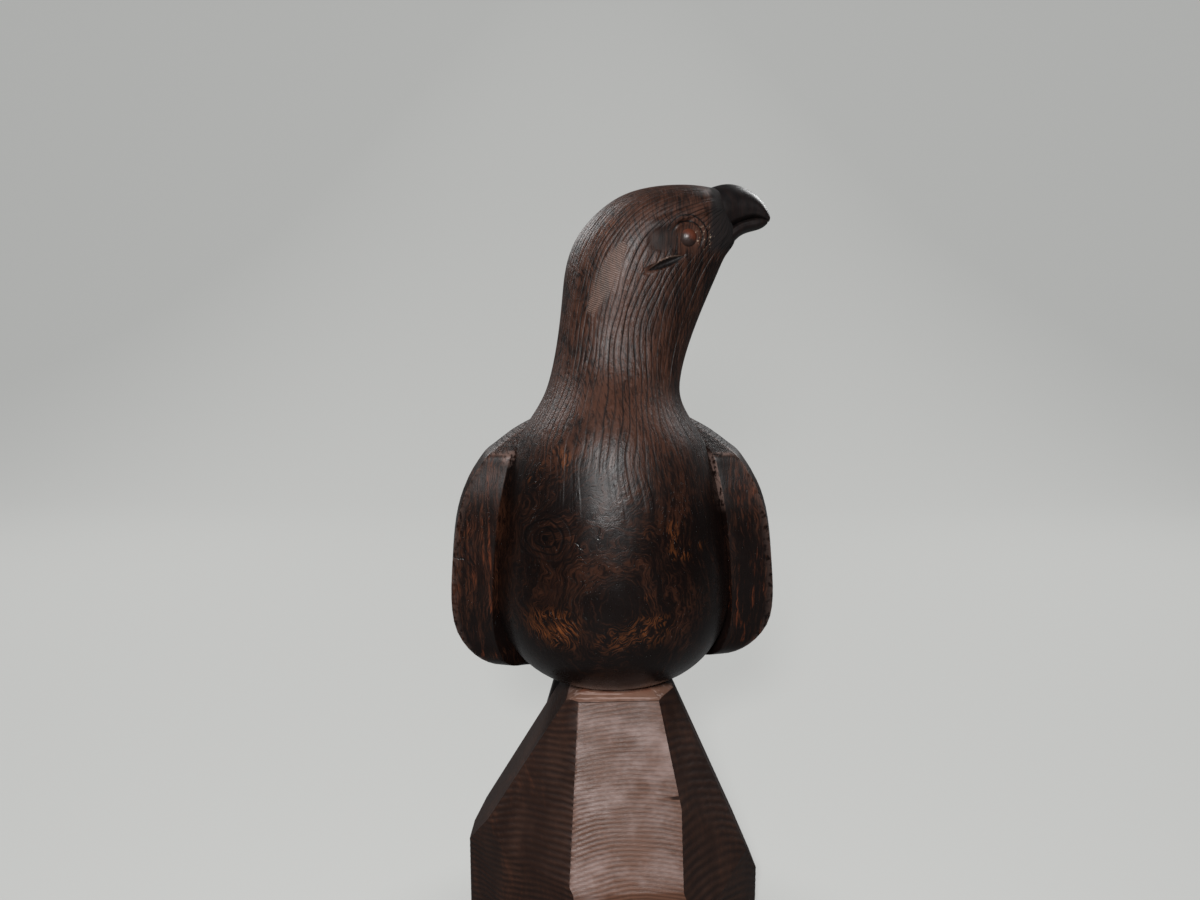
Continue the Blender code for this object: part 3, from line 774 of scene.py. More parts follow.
# %% Build the rock
def make_rock():
    bm = bmesh.new()
    cut_rock(bm)
    sharp = [edge for edge in bm.edges if edge.calc_face_angle(0) > math.radians(4)]
    foot = [edge for edge in sharp if max(vert.co.z for vert in edge.verts) < 0.1 * MM]
    sharp = [edge for edge in sharp if edge not in foot]
    soft = bmesh.ops.bevel(
        bm, geom=sharp, offset=EDGE_SOFTENING, segments=2, profile=0.5, affect="EDGES", clamp_overlap=True
    )
    for face in soft["faces"]:
        face.material_index = 1
    for height in np.arange(BAND_HEIGHT, ROCK_HEIGHT, BAND_HEIGHT):
        plane_cut(bm, (0, 0, height), (0, 0, 1), False)
    for step in np.arange(-OUTERMOST_COLUMN_MM, OUTERMOST_COLUMN_MM + 1, COLUMN_SPACING / MM) * MM:
        plane_cut(bm, (step, 0, 0), (1, 0, 0), False)
        plane_cut(bm, (0, step, 0), (0, 1, 0), False)
    bmesh.ops.dissolve_degenerate(bm, dist=0.06 * MM, edges=bm.edges)
    bm.normal_update()
    strokes = bm.loops.layers.uv.new("strokes")
    wear = bm.loops.layers.uv.new("wear")
    push = {}
    for face in bm.faces:
        for loop in face.loops:
            number, depth = tool_mark(face.normal, loop.vert.co)
            worn = 1.0 if face.material_index == 1 else 0.0
            loop[strokes].uv = (number, depth / DEEPEST_MARK_MM)
            loop[wear].uv = (loop.vert.co.z / MM, worn)
            in_top = loop.vert.co.z > 0.4 * MM
            ripple = -depth * (0.5 + 0.5 * math.cos(math.tau * number)) * in_top
            push.setdefault(loop.vert, []).append(face.normal * ripple * MM)
        face.material_index = 0
    for vert, moves in push.items():
        vert.co += sum(moves, Vector()) / len(moves)
    mesh = bpy.data.meshes.new("rock")
    bm.to_mesh(mesh)
    bm.free()
    mesh.materials.append(finish["rasped_ironwood"])
    return link_object("rock", mesh)


rock = make_rock()
print("rock faces", len(rock.data.polygons))

# %% [markdown]
# ## One piece of wood
# The carving is one block, so the skins are fused by exact Boolean unions. That leaves one closed
# surface with no hidden walls inside. The tail and the rock go first, while the body is still as it was
# lofted: each union rounds the new corner points a little, and the tail lies so flat against the wings
# that a rounded surface could upset it.


# %% Fuse helpers
def fuse(target, tool):
    """Unites the tool with the target, and removes the tool."""
    modifier = target.modifiers.new("fuse", "BOOLEAN")
    modifier.operation = "UNION"
    modifier.object = tool
    modifier.solver = "EXACT"
    modifier.material_mode = "TRANSFER"
    graph = bpy.context.evaluated_depsgraph_get()
    mesh = bpy.data.meshes.new_from_object(target.evaluated_get(graph))
    target.modifiers.clear()
    target.data = mesh
    bpy.data.objects.remove(tool)


def volume_of(obj):
    bm = bmesh.new()
    bm.from_mesh(obj.data)
    volume = bm.calc_volume() / (10 * MM) ** 3
    bm.free()
    return volume


# %% Fuse the forms
SHARP_FROM = math.radians(38)
forms = [tail, rock, *wings, *beak, *eyes]
for form in forms:
    fuse(body, form)
print(f"the fused block measures {volume_of(body):.1f} cubic centimetres")
carving = body
carving.name = "carved_eagle"
carving.data.name = "carved_eagle"
carving.data.shade_smooth()
carving.data.set_sharp_from_angle(angle=SHARP_FROM)
triangles = sum(len(face.vertices) - 2 for face in carving.data.polygons)
print("the carving has", triangles, "triangles in", len(carving.data.materials), "finishes")

# %% Put the carving in the frame
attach(carving, "root")
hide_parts(NODE)


# %% [markdown]
# ## A short way to write nodes
# A material is a small program, and written as one it stays readable. This helper adds a node, sets
# its inputs from numbers or from other nodes' outputs, and hands back the output that is wanted.


# %% Node helpers
class Nodes:
    """Writes nodes into one tree."""

    def __init__(self, tree):
        self.tree = tree

    def add(self, kind, output=0, settings=(), **inputs):
        node = self.tree.nodes.new(kind)
        for key, value in dict(settings).items():
            setattr(node, key, value)
        for key, value in inputs.items():
            socket = node.inputs[int(key[1:])] if key[0] == "i" and key[1:].isdigit() else node.inputs[key]
            self.put(socket, value)
        return node.outputs[output]

    def put(self, socket, value):
        if isinstance(value, bpy.types.NodeSocket):
            self.tree.links.new(value, socket)
        else:
            socket.default_value = value

    def math(self, operation, first, second=0.0, third=0.0, clamp=False):
        settings = {"operation": operation, "use_clamp": clamp}
        return self.add("ShaderNodeMath", settings=settings, i0=first, i1=second, i2=third)

    def times(self, first, second, clamp=False):
        return self.math("MULTIPLY", first, second, clamp=clamp)

    def times_plus(self, first, second, third):
        return self.math("MULTIPLY_ADD", first, second, third)

    def plus(self, first, second):
        return self.math("ADD", first, second)

    def minus(self, first, second):
        return self.math("SUBTRACT", first, second)

    def larger(self, first, second):
        return self.math("MAXIMUM", first, second)

    def smaller(self, first, second):
        return self.math("MINIMUM", first, second)

    def size_of(self, value):
        return self.math("ABSOLUTE", value)

    def length(self, across, up):
        """The length of a flat step."""
        return self.math("SQRT", self.times_plus(across, across, self.times(up, up)))

    def mix(self, share, first, second):
        settings = {"data_type": "RGBA"}
        return self.add("ShaderNodeMix", 2, settings, i0=share, i6=first, i7=second)

    def paint(self, wood, colour, *shares):
        """Lays a colour over the wood, as strongly as all shares multiplied."""
        share = shares[0]
        for factor in shares[1:]:
            share = self.times(share, factor)
        return self.mix(share, wood, colour)

    def span(self, value, low, high, to_low=0.0, to_high=1.0):
        """Maps a range of values smoothly to another."""
        settings = {"interpolation_type": "SMOOTHSTEP"}
        return self.add(
            "ShaderNodeMapRange", 0, settings, Value=value, i1=low, i2=high, i3=to_low, i4=to_high
        )

    def noise(self, vector, scale, detail=3.0, roughness=0.55, distortion=0.0, output=0):
        return self.add(
            "ShaderNodeTexNoise", output, (), Vector=vector, Scale=scale, Detail=detail,
            Roughness=roughness, Distortion=distortion,
        )

    def stretch(self, vector, scale):
        return self.add("ShaderNodeVectorMath", 0, {"operation": "MULTIPLY"}, i0=vector, i1=scale)

    def parts(self, vector):
        node = self.tree.nodes.new("ShaderNodeSeparateXYZ")
        self.tree.links.new(vector, node.inputs[0])
        return node.outputs

    def vector(self, x, y, z):
        return self.add("ShaderNodeCombineXYZ", 0, (), X=x, Y=y, Z=z)

    def distance(self, first, second):
        return self.add("ShaderNodeVectorMath", 1, {"operation": "DISTANCE"}, i0=first, i1=second)


# %% Group helpers
def new_group(name, inputs, outputs):
    """An empty node group with named sockets. Returns the tree, its inputs and its output node."""
    tree = bpy.data.node_groups.new(name, "ShaderNodeTree")
    for socket, kind, value in inputs:
        made = tree.interface.new_socket(name=socket, in_out="INPUT", socket_type=kind)
        if value is not None:
            made.default_value = value
    for socket, kind in outputs:
        tree.interface.new_socket(name=socket, in_out="OUTPUT", socket_type=kind)
    source = tree.nodes.new("NodeGroupInput")
    result = tree.nodes.new("NodeGroupOutput")
    return tree, source.outputs, result


def use_group(nodes, tree, **inputs):
    node = nodes.tree.nodes.new("ShaderNodeGroup")
    node.node_tree = tree
    for key, value in inputs.items():
        nodes.put(node.inputs[key.replace("_", " ")], value)
    return node.outputs


# %% [markdown]
# ## The figure in the wood
# Ironwood fibres run up the block and part like water round every branch that once left the trunk. One
# such branch is cut through in the middle of the belly, where the fibres close into rings, and a small
# knot sits beside it. Water parting round a post has a simple formula, so the group works out one
# number that grows from fibre to fibre: upright lines far away, closed rings inside, a little hill of
# its own at the knot. Streaks, fibres and pores are noises stretched along that number.

# %% Places of the figure
FLOAT, VECTOR, COLOR = "NodeSocketFloat", "NodeSocketVector", "NodeSocketColor"
KNOT = (-15.5, -28.0, 113.4)
SWIRL = (1.5, -32.0, 99.0)
SWIRL_RADIUS = 16.0
# For each spot of painted glint: x, y and z in mm, how far it reaches, and its strength
PAINTED_GLINTS = ((-14.5, -28.0, 93.5, 6.0, 1.0), (1.0, -31.0, 91.5, 4.5, 0.35), (8.5, -31.0, 93.5, 5.0, 0.5))
CRACKS = (((-3.0, 116.7), (-3.4, 114.4)), ((-8.2, 113.2), (-6.9, 111.9)), ((-39.5, 104.2), (-36.6, 103.7)))


# %% Distances in nodes
def segment_axes(n, x, z, start, end):
    """Nodes for the place along and across a line, counted from its middle, and the line's half length."""
    span = (end[0] - start[0], end[1] - start[1])
    length = math.hypot(*span)
    unit = (span[0] / length, span[1] / length)
    dx = n.minus(x, (start[0] + end[0]) / 2)
    dz = n.minus(z, (start[1] + end[1]) / 2)
    along = n.times_plus(dx, unit[0], n.times(dz, unit[1]))
    across = n.times_plus(dx, -unit[1], n.times(dz, unit[0]))
    return along, across, length / 2


def gap_to_segment(n, x, z, start, end):
    """Nodes for the distance to a short straight line in the x-z plane."""
    along, across, half = segment_axes(n, x, z, start, end)
    return n.larger(n.size_of(across), n.minus(n.size_of(along), half))


def leaf_gap(n, x, z, start, end, half_width):
    """Nodes for a leaf-shaped spot: 0 on its middle, 1 on its edge."""
    along, across, half = segment_axes(n, x, z, start, end)
    along = n.math("DIVIDE", along, half)
    across = n.math("DIVIDE", across, half_width)
    return n.plus(n.times(along, along), n.size_of(across))


def leaf_side(n, x, z, start, end):
    """Nodes for how far above a line a place is."""
    return segment_axes(n, x, z, start, end)[1]


# %% [markdown]
# ## Spots that differ
# The figure isn't the same everywhere. The swirl has a dark heart with a dark arc round it, and the low
# belly and one flank are darkened as painted shade. A painted rusty glint lies on the fibres at three
# chosen spots and more weakly here and there, and three short hairline cracks mark the front.


# %% Spots that differ
def dark_figure_and_shade(n, x, z, from_swirl):
    """Nodes for how much darker the wood is in the swirl and on an arc round it, with painted shade low on
    the belly and on one flank.
    """
    heart = n.times(n.span(from_swirl, 9.0, 1.0), 0.12)
    from_arc = n.size_of(n.minus(from_swirl, 11.5))
    arc = n.times(n.span(from_arc, 2.2, 0.4), n.span(x, -2.0, 8.0))
    # Painted shade: the low belly and the right flank are darkened
    low = n.span(z, 95.0, 80.0)
    shaded_flank = n.times(n.span(x, 12.0, 24.0), n.span(z, 128.0, 112.0))
    return n.times_plus(n.larger(low, shaded_flank), 0.09, n.times_plus(arc, 0.10, heart))


def painted_glint_places(n, place, bent):
    """Nodes for where a painted rusty glint lies on the fibres: a few chosen spots, and weaker ones here and
    there.
    """
    glint = n.times(n.span(n.noise(place, 0.10, 2.0, 0.5), 0.62, 0.74), 0.5)
    for x, y, z, reach, strength in PAINTED_GLINTS:
        flat = n.distance(n.stretch(bent, (0.8, 0.5, 1.25)), (0.8 * x, 0.5 * y, 1.25 * z))
        glint = n.larger(glint, n.times(n.span(flat, reach * 1.3, reach * 0.3), strength))
    return glint


def crack_lines(n, place):
    """Nodes for the short hairline cracks in the front."""
    x, y, z = n.parts(place)
    shiver = n.times_plus(n.noise(place, 1.1, 2.0), 0.7, -0.35)
    x, z = n.plus(x, shiver), n.plus(z, shiver)
    cracks = 0.0
    for start, end in CRACKS:
        cracks = n.larger(cracks, n.span(gap_to_segment(n, x, z, start, end), 0.26, 0.08))
    return n.times(cracks, n.span(y, 0.0, -4.0))


# %% Figure group
def make_figure():
    tree, source, result = new_group(
        "wood figure",
        [("Place", VECTOR, None)],
        [("Tone", FLOAT), ("Fibre", FLOAT), ("Glow", FLOAT), ("Line", FLOAT)],
    )
    n = Nodes(tree)
    place = source["Place"]
    bend = n.noise(place, 0.05, 3.0, 0.5, output=1)
    bend = n.add("ShaderNodeVectorMath", 0, {"operation": "SUBTRACT"}, i0=bend, i1=(0.5, 0.5, 0.5))
    bend = n.add("ShaderNodeVectorMath", 0, {"operation": "SCALE"}, i0=bend, Scale=7.5)
    bent = n.add("ShaderNodeVectorMath", 0, {"operation": "ADD"}, i0=place, i1=bend)
    x, y, z = n.parts(bent)
    from_swirl = n.distance(n.stretch(bent, (1.0, 0.3, 0.85)), (SWIRL[0], 0.3 * SWIRL[1], 0.85 * SWIRL[2]))
    wobble = n.minus(n.noise(place, 0.11, 3.0, 0.5), 0.5)
    from_swirl = n.times_plus(wobble, 13.0, from_swirl)
    outside = n.larger(from_swirl, SWIRL_RADIUS)
    parting = n.math("POWER", n.math("DIVIDE", SWIRL_RADIUS, outside), 2.0)
    sideways = n.times_plus(y, 0.35, n.minus(x, SWIRL[0]))
    upright = n.times(sideways, n.minus(1.0, parting))
    inside = n.smaller(n.minus(from_swirl, SWIRL_RADIUS), 0.0)
    ring = n.plus(upright, inside)
    flat_knot = (0.85 * KNOT[0], 0.35 * KNOT[1], 1.15 * KNOT[2])
    from_knot = n.distance(n.stretch(bent, (0.85, 0.35, 1.15)), flat_knot)
    knot = n.span(from_knot, 9.0, 0.0)
    ring = n.times_plus(knot, 11.0, ring)

    def along_fibres(across, along):
        """Noise that is fine across the fibres and long along them."""
        slow = n.times_plus(y, along, n.times(x, along))
        vector = n.vector(n.times(ring, across), slow, n.times(z, along * 0.7))
        return n.noise(vector, 1.0, 3.0, 0.62)

    fibre = along_fibres(3.0, 0.50)
    streak = along_fibres(1.1, 0.08)
    band = along_fibres(0.26, 0.035)
    cloud = n.noise(place, 0.055, 3.0, 0.55)
    tone = n.times_plus(fibre, 0.40, n.times(streak, 0.36))
    tone = n.times_plus(band, 0.24, tone)
    tone = n.times_plus(n.minus(cloud, 0.5), 0.35, tone)
    tone = n.times_plus(dark_figure_and_shade(n, x, z, from_swirl), -1.0, tone)
    # Painted glint on the lighter fibres, strong at the chosen spots and weak elsewhere
    glint = n.times(painted_glint_places(n, place, bent), n.span(fibre, 0.50, 0.62))
    pores = n.span(along_fibres(3.4, 1.3), 0.63, 0.70)
    knot_rings = n.math("SINE", n.times(from_knot, math.tau / 1.9))
    line = n.times(n.span(knot_rings, 0.30, 0.95), n.span(from_knot, 7.6, 5.0))
    line = n.times(line, 0.8)
    line = n.larger(line, n.times(pores, 0.7))
    line = n.larger(line, crack_lines(n, place))
    for socket, value in zip(result.inputs, (tone, fibre, glint, line)):
        tree.links.new(value, socket)
    return tree


figure_group = make_figure()
print("figure group has", len(figure_group.nodes), "nodes")

# %% [markdown]
# ## Colour of oiled ironwood
# Few colours are enough: a black for cracks, pores and the painted shade in cut lines, a near-black
# heart, a warm dark brown, a redder brown in the outer wood, a rusty orange for the painted glint on the
# fibres, and a paler brown for the neck that is partly its own colour and partly painted sheen. The
# dark wins nearly everywhere. A second group mixes them, so every finish can take the same wood warmer
# or paler.

# %% Colour group
BLACK = (0.0014, 0.0010, 0.0010, 1.0)
DARK = (0.0026, 0.0014, 0.0012, 1.0)
BROWN = (0.0200, 0.0074, 0.0040, 1.0)
RED_BROWN = (0.0340, 0.0110, 0.0054, 1.0)
GLINT_ORANGE = (0.1100, 0.0330, 0.0085, 1.0)
# Paler neck brown: partly the neck's own colour, partly painted sheen
NECK_BROWN_AND_SHEEN = (0.0370, 0.0152, 0.0094, 1.0)


def make_colour():
    tree, source, result = new_group(
        "oiled wood colour",
        [("Tone", FLOAT, 0.5), ("Fibre", FLOAT, 0.5), ("Glow", FLOAT, 0.0), ("Line", FLOAT, 0.0),
         ("Warmth", FLOAT, 0.0), ("Light", FLOAT, 0.0)],
        [("Color", COLOR)],
    )
    n = Nodes(tree)
    tone = n.times_plus(source["Warmth"], 0.10, source["Tone"])
    wood = n.mix(n.span(tone, 0.43, 0.66), DARK, BROWN)
    red = n.times(source["Warmth"], n.span(tone, 0.50, 0.66))
    wood = n.mix(red, wood, RED_BROWN)
    # The paler neck brown stands partly for painted sheen
    wood = n.mix(source["Light"], wood, NECK_BROWN_AND_SHEEN)
    between = n.span(source["Fibre"], 0.56, 0.40)
    wood = n.mix(n.times(between, 0.75), wood, DARK)
    # Painted glint: rusty orange laid over the fibres
    wood = n.mix(n.times(source["Glow"], 0.8), wood, GLINT_ORANGE)
    wood = n.mix(source["Line"], wood, BLACK)
    tree.links.new(wood, result.inputs[0])
    return tree


colour_group = make_colour()

# %% [markdown]
# ## Stroke lines from the UV map
# The cut lines are real grooves in the mesh, but each carries finer marks than a mesh should hold: the
# fine hairs beside it, the painted shade in it and the ribs of a chattering chisel. The group reads
# the numbers that the skins stored, and turns them into masks.


# %% Stroke group
def make_strokes():
    tree, source, result = new_group(
        "tool strokes",
        [("Hairs", FLOAT, 4.0), ("Sharpness", FLOAT, 0.35)],
        [("Furrow", FLOAT), ("Hair", FLOAT), ("Depth", FLOAT), ("Wear", FLOAT), ("Number", FLOAT),
         ("Ribs", FLOAT), ("Ribbed", FLOAT)],
    )
    n = Nodes(tree)
    strokes = n.add("ShaderNodeUVMap", 0, {"uv_map": "strokes"})
    worn = n.add("ShaderNodeUVMap", 0, {"uv_map": "wear"})
    number, depth, _ = n.parts(strokes)
    along, wear, _ = n.parts(worn)
    from_line = n.math("PINGPONG", number, 0.5)
    furrow = n.span(from_line, 0.0, source["Sharpness"], 1.0, 0.0)
    hair_vector = n.vector(n.times(number, source["Hairs"]), n.times(along, 0.30), 0.0)
    hair = n.noise(hair_vector, 1.0, 3.0, 0.6)
    unsteady = n.noise(n.vector(n.times(number, 2.0), along, 0.0), 0.8, 2.0)
    slant = n.times_plus(unsteady, 5.0, n.times(number, 4.0))
    ribs = n.math("SINE", n.times_plus(along, math.tau / 0.52, slant))
    left_ribbed = n.times(wear, -1.0, clamp=True)
    ribs = n.times(n.times(ribs, 0.5), left_ribbed)
    wear = n.larger(wear, 0.0)
    for socket, value in zip(result.inputs, (furrow, hair, depth, wear, number, ribs, left_ribbed)):
        tree.links.new(value, socket)
    return tree


stroke_group = make_strokes()


# %% [markdown]
# ## Finish of the polished bird
# The bird was sanded, oiled and buffed. The dark wood keeps its colour, and the polish lies on it as a
# faint sheen. On the feather lines the buffing only reached the ridges, so the furrows stay dull, and
# they are painted dark as shade. All of it uses the carving's own coordinates in millimetres, so the
# figure runs through belly, wings and neck without a seam.


# %% Start a finish
def start_material(material):
    """Clears a material and gives back a node writer, its shader and the place in millimetres."""
    tree = material.node_tree
    tree.nodes.clear()
    n = Nodes(tree)
    out = tree.nodes.new("ShaderNodeOutputMaterial")
    shader = tree.nodes.new("ShaderNodeBsdfPrincipled")
    tree.links.new(shader.outputs[0], out.inputs[0])
    place = n.add("ShaderNodeTexCoord", 3)
    place = n.add("ShaderNodeVectorMath", 0, {"operation": "SCALE"}, i0=place, Scale=1 / MM)
    return n, shader, place


def bump(n, height, distance_mm):
    return n.add("ShaderNodeBump", 0, (), Distance=distance_mm * MM, Height=height)


# %% Wood of the bird
n, shader, place = start_material(finish["polished_ironwood"])
tone, fibre, glint, line = use_group(n, figure_group, Place=place)
x, y, z = n.parts(place)
outer_wood = n.span(n.size_of(x), 26.5, 29.5)
face = n.times(n.span(x, 15.0, 24.0), n.span(z, 168.0, 178.0))
warmth = n.larger(n.times(outer_wood, 0.50), n.times(face, 0.55))
warmth = n.larger(warmth, n.times(n.span(z, 122.0, 140.0), 0.42))
feathered = n.times(n.span(z, 126.0, 142.0), n.span(n.size_of(x), 40.0, 30.0))
# Painted sheen and shade on the neck: lit picks where the paler brown goes, and the throat is darkened as
# shade
shaded_throat = n.times(n.span(x, 11.0, 19.0), n.span(z, 182.0, 175.0))
lit = n.times(n.noise(n.stretch(place, (1.0, 1.0, 0.30)), 0.20, 4.0, 0.6), 0.6)
lit = n.times_plus(shaded_throat, -0.13, n.times_plus(tone, 0.9, lit))
wood = use_group(
    n, colour_group, Tone=tone, Fibre=n.times_plus(feathered, 0.055, fibre), Glow=glint,
    Line=n.times(line, n.times_plus(feathered, -0.6, 1.0)), Warmth=warmth,
    Light=n.times(feathered, n.span(lit, 0.50, 0.88)),
)[0]

# %% [markdown]
# ## Streaks of the wings
# The wings come from the outer wood of the block, where straight dark and rusty streaks run up and
# down. Two noises stand for them, drawn out along the height.

# %% Streaks of the wings
RUSTY_STREAK = (0.075, 0.019, 0.007, 1.0)
dark_streak = n.span(n.noise(n.stretch(place, (1.2, 0.6, 0.07)), 1.0, 4.0, 0.6), 0.44, 0.60)
wood = n.paint(wood, DARK, dark_streak, outer_wood, 0.85)
elsewhere = n.add("ShaderNodeVectorMath", 0, {"operation": "ADD"}, i0=place, i1=(37, 11, 5))
rusty_streak = n.span(n.noise(n.stretch(elsewhere, (0.8, 0.4, 0.05)), 1.0, 3.0, 0.6), 0.56, 0.68)
wood = n.paint(wood, RUSTY_STREAK, rusty_streak, n.span(fibre, 0.40, 0.60), outer_wood, 0.7)

# %% [markdown]
# ## Painted shade in the cut lines, rib sheen and worn edges
# Every furrow is painted dark as shade, and on the chest some feather lines have a finer line beside
# them, painted dark as shade too. The ribbed spot on the cheek carries a painted sheen, strongest on
# its rib crests, and the worn corners of the wings are dry wood, which looks pale.

# %% Painted shade in the cut lines, rib sheen and worn edges
PAINTED_RIB_SHEEN = (0.150, 0.108, 0.090, 1.0)
WORN_CORNER = (0.110, 0.070, 0.058, 1.0)
furrow, hair, depth, wear, number, ribs, ribbed = use_group(n, stroke_group, Hairs=5.0, Sharpness=0.19)
on_neck = n.times(depth, 1.0, clamp=True)
on_chest = n.times(n.span(z, 136.0, 129.0), n.span(n.noise(place, 0.25, 2.0), 0.42, 0.55))
finer_line = n.span(n.math("PINGPONG", n.plus(number, 0.5), 0.5), 0.10, 0.0)
furrow = n.larger(furrow, n.times(n.times(finer_line, on_chest), 0.7))
# Painted sheen over the ribbed cheek spot, strongest on the rib crests
rib_sheen = n.times_plus(ribbed, 0.14, n.times(ribs, 0.80, clamp=True))
wood = n.paint(wood, PAINTED_RIB_SHEEN, rib_sheen)
# Painted shade: the furrows of neck and chest are painted near black
furrow_shade = n.times(n.times(furrow, on_neck), 0.9)
wood = n.paint(wood, BLACK, furrow_shade)
wood = n.paint(wood, WORN_CORNER, wear, n.span(n.noise(place, 0.8, 3.0), 0.38, 0.56), 0.7)

# %% [markdown]
# ## The face
# Next to the beak the wood is as dark as the beak. The two lid lines over the eye are painted dark as
# shade, a dull dark patch lies behind it, the nick is painted black as shade under a pale upper rim,
# and a few pale flecks sit between eye and beak. The same places were carved above, so the values of
# the head's relief are used again.

# %% The face
BESIDE_BEAK = (0.0036, 0.0029, 0.0030, 1.0)
PALE_RIM = (0.130, 0.085, 0.065, 1.0)
PALE_FLECK = (0.200, 0.150, 0.110, 1.0)
SHADED_LID_LINES_MM = (3.9, 5.2)
FLECKS_MM = (21.0, 181.0)
beak_root = n.times_plus(n.noise(place, 0.9, 2.0), 1.6, x)
beak_root = n.times(n.span(beak_root, 22.6, 24.4), n.span(z, 176.5, 179.5))
wood = n.paint(wood, BESIDE_BEAK, beak_root, 0.93)
on_head = n.span(n.size_of(y), 5.0, 8.0)
eye_x, eye_z = in_mm(EYE)
ahead, above = n.minus(x, eye_x), n.minus(z, eye_z)
from_eye = n.times_plus(n.noise(place, 0.6, 2.0), 0.5, n.length(ahead, above))
upper_side = n.span(n.times_plus(ahead, 0.45, above), -2.0, -0.5)
# Painted shade in the two lid lines over the eye
for radius in SHADED_LID_LINES_MM:
    lid_shade = n.span(n.size_of(n.minus(from_eye, radius)), 0.26, 0.08)
    wood = n.paint(wood, BLACK, lid_shade, upper_side, on_head)
behind_eye = n.times(n.span(n.length(n.plus(ahead, 6.2), above), 4.6, 2.4), on_head)
wood = n.paint(wood, DARK, behind_eye, 0.6)
nick = [in_mm(point) for point in NICK]
upper_rim = n.span(leaf_side(n, x, z, *nick), 0.2, 0.7)
wood = n.paint(wood, PALE_RIM, n.span(leaf_gap(n, x, z, *nick, 1.35), 1.05, 0.85), on_head, upper_rim, 0.45)
# Painted shade: the nick is painted near black
wood = n.paint(wood, BLACK, n.span(leaf_gap(n, x, z, *nick, 0.95), 1.05, 0.75), on_head, 0.95)
from_flecks = n.length(n.minus(x, FLECKS_MM[0]), n.minus(z, FLECKS_MM[1]))
flecks = n.times(n.span(n.noise(place, 1.6, 2.0), 0.62, 0.68), n.span(from_flecks, 3.4, 1.6))
wood = n.paint(wood, PALE_FLECK, flecks, on_head, 0.8)
n.put(shader.inputs["Base Color"], wood)

# %% [markdown]
# ## Sheen and fine relief of the bird
# The belly was buffed longest. The neck, the furrows and the wood next to the beak stay duller, so each
# of them adds its share to the roughness. The fibres, the hairs beside the cut lines and the uneven
# skin of the neck are too fine for the mesh and become a bump.

# %% Sheen and fine relief of the bird
roughness = n.span(n.noise(place, 0.13, 4.0, 0.6), 0.3, 0.7, 0.24, 0.32)
over_belly = n.span(z, 112.0, 130.0)
for dull, share in ((over_belly, 0.18), (behind_eye, 0.12), (beak_root, 0.50), (furrow_shade, 0.25)):
    roughness = n.times_plus(dull, share, roughness)
n.put(shader.inputs["Roughness"], roughness)
height = n.times_plus(fibre, 0.45, n.times(line, -0.6))
height = n.times_plus(n.times(hair, on_neck), 1.5, height)
height = n.times_plus(n.times(furrow, on_neck), -1.0, height)
height = n.times_plus(ribs, 0.9, height)
uneven_skin = n.noise(n.stretch(place, (1.0, 1.0, 0.7)), 0.95, 3.0, 0.6)
height = n.times_plus(uneven_skin, n.times_plus(on_neck, 2.6, 0.3), height)
n.put(shader.inputs["Normal"], bump(n, height, 0.085))
shader.inputs["Specular IOR Level"].default_value = 0.19

# %% [markdown]
# ## Finish of the rasped rock
# The rock was never sanded. Its ripple crests carry a painted highlight, and a little fine dust sits
# on them. The front stroke and the ledge face the light and carry a painted pale, pinkish sheen over
# that dust. The strokes beside the front are as dark as the bird.

# %% Wood, dust and painted sheen of the rock
ROCK_BROWN = (0.0340, 0.0125, 0.0065, 1.0)
DUST_AND_SHEEN = (0.150, 0.070, 0.044, 1.0)
LEDGE_BROWN_AND_SHEEN = (0.125, 0.066, 0.046, 1.0)
n, shader, place = start_material(finish["rasped_ironwood"])
tone, fibre, _, line = use_group(n, figure_group, Place=place)
calm_fibre = n.times_plus(fibre, 0.45, 0.30)
wood = use_group(n, colour_group, Tone=tone, Fibre=calm_fibre, Glow=0.0, Line=line, Warmth=0.55)[0]
wood = n.mix(0.30, wood, ROCK_BROWN)
furrow, _, depth, wear, number, *_ = use_group(n, stroke_group, Sharpness=0.5)
z = n.parts(place)[2]
facing = n.add("ShaderNodeNewGeometry", 1)
facing = n.add("ShaderNodeVectorTransform", 0, {"vector_type": "NORMAL", "convert_to": "OBJECT"}, i0=facing)
facing_right, facing_back, facing_up = n.parts(facing)
# Painted sheen: strokes that face the front or face up get a paler colour
on_front = n.times(n.span(facing_back, -0.70, -0.84), n.span(n.size_of(facing_right), 0.35, 0.20))
on_ledge = n.span(facing_up, 0.70, 0.82)
sheen_facets = n.larger(on_front, on_ledge)
cloud = n.noise(n.stretch(place, (1.0, 1.0, 0.5)), 0.10, 4.0, 0.6)
# Dust and painted sheen: pale on the front and the ledge, stronger on the ripple crests, a little dust
# everywhere
dust_and_sheen = n.times(sheen_facets, n.span(z, 66.0, 36.0, 0.34, 0.43))
dust_and_sheen = n.times_plus(n.span(cloud, 0.3, 0.7), 0.10, dust_and_sheen)
wood = n.paint(wood, DUST_AND_SHEEN, dust_and_sheen, n.times_plus(n.minus(1.0, furrow), 0.35, 0.72))
# The ledge faces up and is paler: partly its own colour, partly painted sheen
wood = n.paint(wood, LEDGE_BROWN_AND_SHEEN, on_ledge, n.span(cloud, 0.25, 0.6, 0.45, 0.85))

# %% [markdown]
# ## Painted shade in the furrows, and sheen patches of the rock
# The furrows are painted dark as shade, and the shade fades in and out. Patches of painted sheen make
# the front paler still, the ledge carries a few long pale strokes, and right under the belly runs a
# thin red seam.

